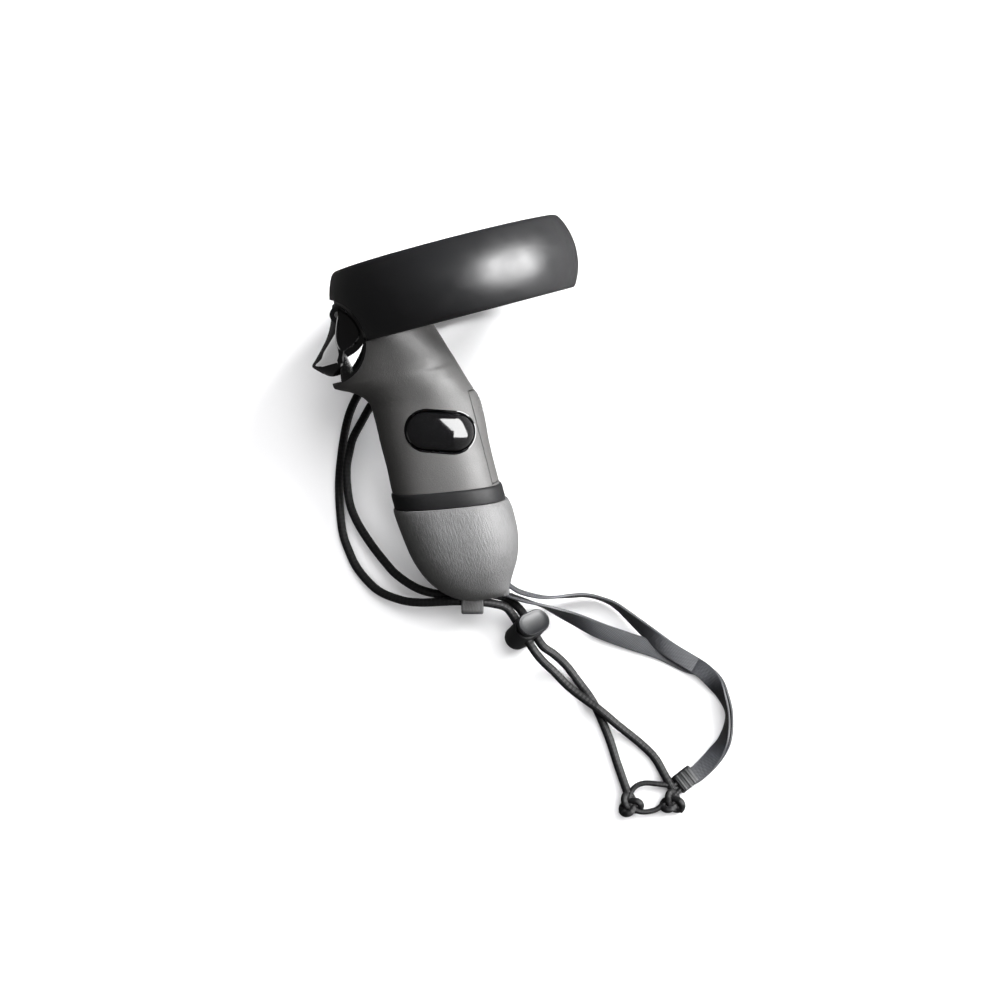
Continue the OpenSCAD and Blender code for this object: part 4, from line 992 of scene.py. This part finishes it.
def make_trigger_rim():
    """The black lining of the round opening, with a cheek on each side of the trigger."""
    lining = side_prism(circle(OPENING_RADIUS - 0.02, OPENING_AT, 160), -26, 26)
    rim = piece("trigger_rim", lining, "gloss_black", None, "trigger_bezel", sharp=38)
    carve(rim, shape(*side_prism(circle(OPENING_RADIUS - 0.9, OPENING_AT, 160), -27, 27)))
    seat = circle(OPENING_RADIUS - 0.3, OPENING_AT, 120)
    for side in (-1, 1):
        carve(rim, shape(*side_prism(seat, *sorted((side * 13.4, side * 14.3)))), "UNION")
        slope = [(HUB_RADIUS + 0.95, 13.9), (18.0, 13.9), (18.0, 14.15), (16.4, 14.6), (14.6, 15.02)]
        slope += [(12.8, 15.34), (HUB_RADIUS + 1.2, 15.5), (HUB_RADIUS + 0.95, 15.4)]
        flank = lathe([(r, side * y) for r, y in slope[::side]], 120, (*TRIGGER_HUB, 0))
        flank = shape(flank[0][:, [0, 2, 1]], flank[1])
        carve(flank, shape(*side_prism(seat, -20, 20)), "INTERSECT")
        carve(rim, flank, "UNION")
    carve(rim, shape(*side_prism(circle(3.3, TRIGGER_PIVOT, 40), -20, 20)))
    carve(rim, head_core(0.55), "INTERSECT")
    kept = [(-40, -13.5), (-11.4, -13.5), (-11.4, 18.6), (-25.2, 18.6), (-25.2, -5), (-40, -5)]
    carve(rim, shape(*side_prism(kept, -30, 30)), "INTERSECT")
    room = TRIGGER_HALF + 0.3
    carve(rim, shape(*side_prism([(-40, -20), (-5, -20), (-5, 30), (-40, 30)], -room, room)))
    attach(rim, "handle")


make_trigger()
make_trigger_rim()


# ---------- grip button ----------
def surface_level(u, v):
    """Height of the handle's own surface over its middle plane, at a point of the grip frame."""
    local = turn("Z", GRIP_TURN) @ Vector((u, v, 0))
    x, z = GRIP_AT[0] + local.x, GRIP_AT[2] + local.y
    row = shell_row(z)
    middle, reach = (row[1] + row[2]) / 2, (row[2] - row[1]) / 2
    share = min(1.0, abs(x - middle) / reach)
    return row[3] * (1 - share ** row[4]) ** (1 / row[4])


def button_level(u, v):
    """The button's pillow-shaped face: flatter than the handle round it."""
    straight = 15.9 - 0.19 * max(u, 0.0) + 0.03 * min(u, 0.0)
    return 0.5 * (surface_level(u, v) + straight) - 0.016 * v * v


def make_grip():
    """The button stands proud of the handle, with a rounded edge."""
    base = stadium(GRIP_LENGTH - 1.7, GRIP_WIDTH - 1.7, 28)
    rings = [np.array([(u, v, 9.4) for u, v in base])]
    edge = 1.5
    for k in range(7):
        a = math.pi / 2 * k / 6
        outline = inset(np.array(base), edge * (1 - math.cos(a)))
        lift = 0.9 - edge * 0.8 * (1 - math.sin(a))
        rings.append(np.array([(u, v, button_level(u, v) + lift) for u, v in outline]))
    half = (GRIP_LENGTH - GRIP_WIDTH) / 2
    centre_line = np.array([(math.copysign(half, u) if abs(u) > 5 else u, 0) for u, v in base])
    last = inset(np.array(base), edge)
    for share in (0.86, 0.7, 0.52, 0.34, 0.16, 0.02):
        outline = centre_line + (last - centre_line) * share
        rings.append(np.array([(u, v, button_level(u, v) + 0.9) for u, v in outline]))
    button = loft(rings)
    arm = rounded_box((-14.6, -4.6, 8.0), (-9.5, 4.6, 10.3), 0.8)
    piece("grip_key", joined(button, arm), "gloss_black", "grip_button", "grip_button", GRIP, 40)
    outer, inner = [stadium(GRIP_LENGTH - less, GRIP_WIDTH - less, 28) for less in (0.04, 1.3)]
    levels = [(outer, -0.02), (inset(np.array(outer), 0.25), 0.08)]
    levels += [(inner, -0.25), (inner, -1.4), (outer, -1.4)]
    wall = [
        np.array([(u, v, surface_level(*spot) + lift) for (u, v), spot in zip(outline, outer)])
        for outline, lift in levels
    ]
    rim = loft(wall, closed=True)
    ears = [rounded_box((-14.6, y - 0.75, 8.0), (-9.6, y + 0.75, 10.4), 0.3, 2) for y in (-6.65, 6.65)]
    piece("grip_rim", joined(rim, *ears), "gloss_black", "handle", "grip_bezel", GRIP, 40)


make_grip()


# ---------- end cap, collar and lug ----------
LUG_AT = (-3.6, 0.0, -100.8)
LUG = HANDLE @ Matrix.Translation(LUG_AT) @ turn("Y", RING_LEAN)
LUG_BORES = ((-1.9, -1.5), (2.0, 0.8))
BORE = CORD_SIZE / 2 + 0.3
CAP_SEAM = 7.6
LUG_OUTLINE = [
    (-4.4, 5.4), (-4.4, -4.2), (-3.9, -5.3), (-2.7, -6.1),
    (2.7, -6.1), (3.9, -5.3), (4.4, -4.2), (4.4, 5.4),
]
PRONG_OUTLINE = [
    (7.2, -95.5), (7.4, -102.4), (8.6, -103.2), (10.4, -103.2), (11.4, -102.2), (11.6, -95.5),
]
BAND_SLOT = [(6.2, -104), (12.4, -104), (12.4, -98.2), (6.2, -98.2)]
LUG_RECESS = [(1.6, -101.4), (7.1, -103.0), (7.1, -98.0), (6.0, -96.9), (2.6, -96.4), (1.4, -97.4)]


def cap_angles(row):
    """Angles round a section, closer together at the fine seam inside its front edge."""
    depth = min(CAP_SEAM, row[3] * 0.5)
    steps = (-0.5, -0.25, 0, 0.25, 0.5)
    seam = [180 + math.degrees(math.asin(((depth + d) / row[3]) ** (row[4] / 2))) for d in steps]
    before, after = np.linspace(180, seam[0], 9)[:-1], np.linspace(seam[-1], 270, 24)[1:]
    return np.concatenate([before, seam, after, np.linspace(270, 540, 110)[1:-1]])


def make_cap():
    heights = fine_steps([-102.2, -101.2, -99.6], 0.35)
    heights += fine_steps([-99.6, -89, -66.4, -65.6, -65.4], 1.1)[1:]
    rings = []
    for z in heights:
        row = cap_row(z)
        angles = cap_angles(row)
        ring = section(row, angles)
        ring[10] = section(row, angles[10:11], 0.3)[0]
        rings.append(ring)
    for z in fine_steps([-96.6, -65.4], 2.0)[::-1]:
        rings.append(section(cap_inside_row(z), np.linspace(180, 540, len(rings[0]) + 1)[:-1]))
    cap = piece("strap_cap_skin", loft(rings), "cap_plastic", None, "strap_cap")
    points, faces = prism(LUG_OUTLINE, -3.2, 5.0, 0.6)
    carve(cap, shape(points[:, [2, 0, 1]], faces, LUG), "UNION")
    carve(cap, shape(*side_prism(PRONG_OUTLINE, -4.4, 4.4, 0.5)), "UNION")
    for outline, half in ((BAND_SLOT, 3.4), (LUG_RECESS, 4.7)):
        carve(cap, shape(*side_prism(outline, -half, half, 0.3)))
    for at in LUG_BORES:
        points, faces = prism(circle(BORE, at, 32), -6, 6)
        carve(cap, shape(points[:, [2, 0, 1]], faces, LUG))
    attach(cap, "strap_cap")


def make_collar():
    """The dark collar band: a shallow channel with a raised upper lip."""
    levels = [(-65.4, 0.5), (-65.2, 0.15), (-64.8, 0.0), (-60.6, 0.0)]
    levels += [(-60.1, 0.05), (-59.6, 0.15), (-59.3, 0.4), (-59.2, 0.6)]
    rings = []
    for z, d in levels:
        rings.append(section((z, -22.1, 18.5, 16.4, 2.6, -0.16), np.arange(0, 360, 2.5), d))
    for z in (-59.2, -62.3, -65.4):
        rings.append(section((z, -21.6, 17.9, 15.75, 2.6, -0.16), np.arange(0, 360, 2.5)))
    piece("collar_band", loft(rings, closed=True), "band_collar", "strap_cap", "cap_band")


make_cap()
make_collar()


# ---------- cord lock ----------
LOCK_SPREAD = 2.1
# length, width and height of each ring of an oval part, from the outside bottom up
BARREL_RINGS = [
    (12.2, 7.8, -7.4), (13.0, 8.6, -7.1), (13.4, 9.0, -6.5), (13.4, 9.0, 2.6), (13.2, 8.8, 3.2),
    (12.7, 8.3, 3.6), (11.6, 7.2, 3.6), (11.4, 7.0, 3.0), (11.4, 7.0, -5.6),
]
PLUNGER_RINGS = [
    (11.0, 6.6, -2.6), (11.3, 6.9, -2.3), (11.3, 6.9, 5.66), (11.9, 7.5, 5.74), (12.9, 8.5, 5.85),
    (13.4, 9.0, 6.1), (13.4, 9.0, 6.7), (13.1, 8.7, 7.2), (12.5, 8.1, 7.5), (11.9, 7.5, 7.45),
    (11.3, 6.9, 7.2), (10.0, 5.6, 6.95), (8.0, 3.6, 6.75), (5.5, 1.2, 6.65),
]


def oval_part(name, table, node):
    rings = [np.array([(x, y, z) for x, y in stadium(length, width, 24)]) for length, width, z in table]
    return piece(name, loft(rings), "lock_plastic", None, node, LOCK, 40)


def make_lock():
    """The barrel, hollow with two cord holes, and the plunger with its dished head."""
    barrel = oval_part("lock_barrel", BARREL_RINGS, "lock_body")
    for side in (-1, 1):
        bore = side_prism(circle(CORD_SIZE / 2 + 0.2, (side * LOCK_SPREAD, 0), 32), -8, 8)
        carve(barrel, shape(*bore, LOCK))
    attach(barrel, "lock_body")
    plunger = oval_part("lock_button", PLUNGER_RINGS, "lock_plunger")
    window = rounded_box((-4.1, -8, -1.75), (4.1, 8, 3.85), 0.3)
    carve(plunger, shape(*window, LOCK))
    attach(plunger, "lock_plunger")


make_lock()


# ---------- the carried CAD nodes ----------
for part in frame["record"]["subparts"]:
    node = frame["nodes"][part["node"]]
    node.data.materials.clear()
    node.data.materials.append(MATERIALS[part["material_slot"]])


# ---------- floor, light and finish ----------
def make_floor():
    p = Paint("stage_floor")
    p.set(Base_Color=(0.93, 0.93, 0.94, 1), Roughness=0.6)
    p.set(Specular_IOR_Level=0.2)
    corners = [(3.0 * x, 3.0 * y, 0) for x, y in ((-1, -1), (1, -1), (1, 1), (-1, 1))]
    floor = placed("floor", plain_mesh("floor", corners, [(0, 1, 2, 3)]))
    floor.data.materials.append(p.material)
    floor.visible_diffuse = False
    floor.visible_glossy = False
    return floor


def make_surround():
    """A pale dome round the stage that only the camera sees."""
    p = Paint("stage_surround")
    p.set(Base_Color=(0, 0, 0, 1), Roughness=1.0)
    p.set(Emission_Color=(0.93, 0.93, 0.94, 1), Emission_Strength=1.0)
    radius, sides = 1.5, 48
    around = np.arange(sides) * 2 * math.pi / sides
    rings = []
    for a in np.radians(np.linspace(-4, 90, 24))[:-1]:
        width, height = radius * math.cos(a), radius * math.sin(a)
        rings.append(np.array([(width * math.cos(t), width * math.sin(t), height) for t in around]))
    dome = placed("surround", plain_mesh("surround", *loft(rings)))
    dome.data.materials.append(p.material)
    for ray in ("diffuse", "glossy", "transmission", "shadow"):
        setattr(dome, "visible_" + ray, False)


def area_light(name, place, aim, size, power, only=None, roll=0.0):
    """A soft light; only="diffuse" keeps it out of reflections, only="gloss" makes it a card."""
    data = bpy.data.lights.new(name, "AREA")
    data.shape = "RECTANGLE"
    data.size, data.size_y = size
    data.energy = power
    light = placed(name, data)
    light.location = place
    light.rotation_euler = (facing(place, aim).to_matrix().to_4x4() @ turn("Z", roll)).to_euler()
    light.visible_camera = False
    light.visible_glossy = only != "diffuse"
    light.visible_diffuse = only != "gloss"
    return light


def make_world():
    """A dim room that is light on the right, above and below, and dark on the left."""
    world = bpy.data.worlds.new("studio")
    world.use_nodes = True
    tree = world.node_tree
    toward = tree.nodes.new("ShaderNodeTexCoord")
    split = tree.nodes.new("ShaderNodeSeparateXYZ")
    tree.links.new(toward.outputs["Generated"], split.inputs[0])
    level = tree.nodes.new("ShaderNodeMapRange")
    tree.links.new(split.outputs[0], level.inputs["Value"])
    for key, value in {"From Min": 0.25, "From Max": 1.0, "To Min": 0.085, "To Max": 0.95}.items():
        level.inputs[key].default_value = value
    tree.nodes["Background"].inputs[0].default_value = (1.0, 0.99, 0.985, 1)
    tree.links.new(level.outputs[0], tree.nodes["Background"].inputs[1])
    bpy.context.scene.world = world


def lights_only(pieces, light):
    """Keeps this light to these pieces."""
    receivers = bpy.data.collections.new(light.name + "_receivers")
    for obj in pieces:
        receivers.objects.link(obj)
    light.light_linking.receiver_collection = receivers


floor = make_floor()
make_surround()
make_world()
glossy = [bpy.data.objects[n] for n in ("grip_key", "trigger_rim", "trigger_lever")]
grip_key, trigger_rim, trigger_lever = glossy
others = [obj for obj in bpy.context.scene.objects if obj.type == "MESH" and obj not in glossy]
BUTTON_SPOT, CHEEK_SPOT = (0.003, -0.008, 0.046), (-0.028, 0.019, 0.053)
area_light("key", (1.15, 0.8, 1.0), (0, 0, 0.03), (0.9, 0.9), 40, "diffuse")
card = area_light("key_card", (1.2, 0.04, 0.95), (0, 0, 0.03), (1.0, 1.5), 105, "gloss", 20)
lights_only(others, card)
area_light("front", (0.35, 0.5, 1.5), (0, 0, 0.03), (0.8, 0.8), 9, "diffuse")
card = area_light("left_card", (-1.1, -0.25, 0.5), (0, 0, 0.05), (1.9, 1.9), 48, "gloss")
lights_only([trigger_lever], card)
card = area_light("button_card", (0.434, -0.214, 0.925), BUTTON_SPOT, (0.42, 0.42), 8, "gloss", 45)
lights_only([grip_key], card)
card = area_light("cheek_card", (0.232, -0.484, 0.877), CHEEK_SPOT, (0.5, 0.36), 16, "gloss")
lights_only([trigger_rim], card)
lights_only([floor], area_light("floor_fill", (-0.1, -0.1, 1.7), (0, 0, 0), (3.0, 3.0), 37, "diffuse"))
bpy.context.scene.view_settings.view_transform = "Standard"
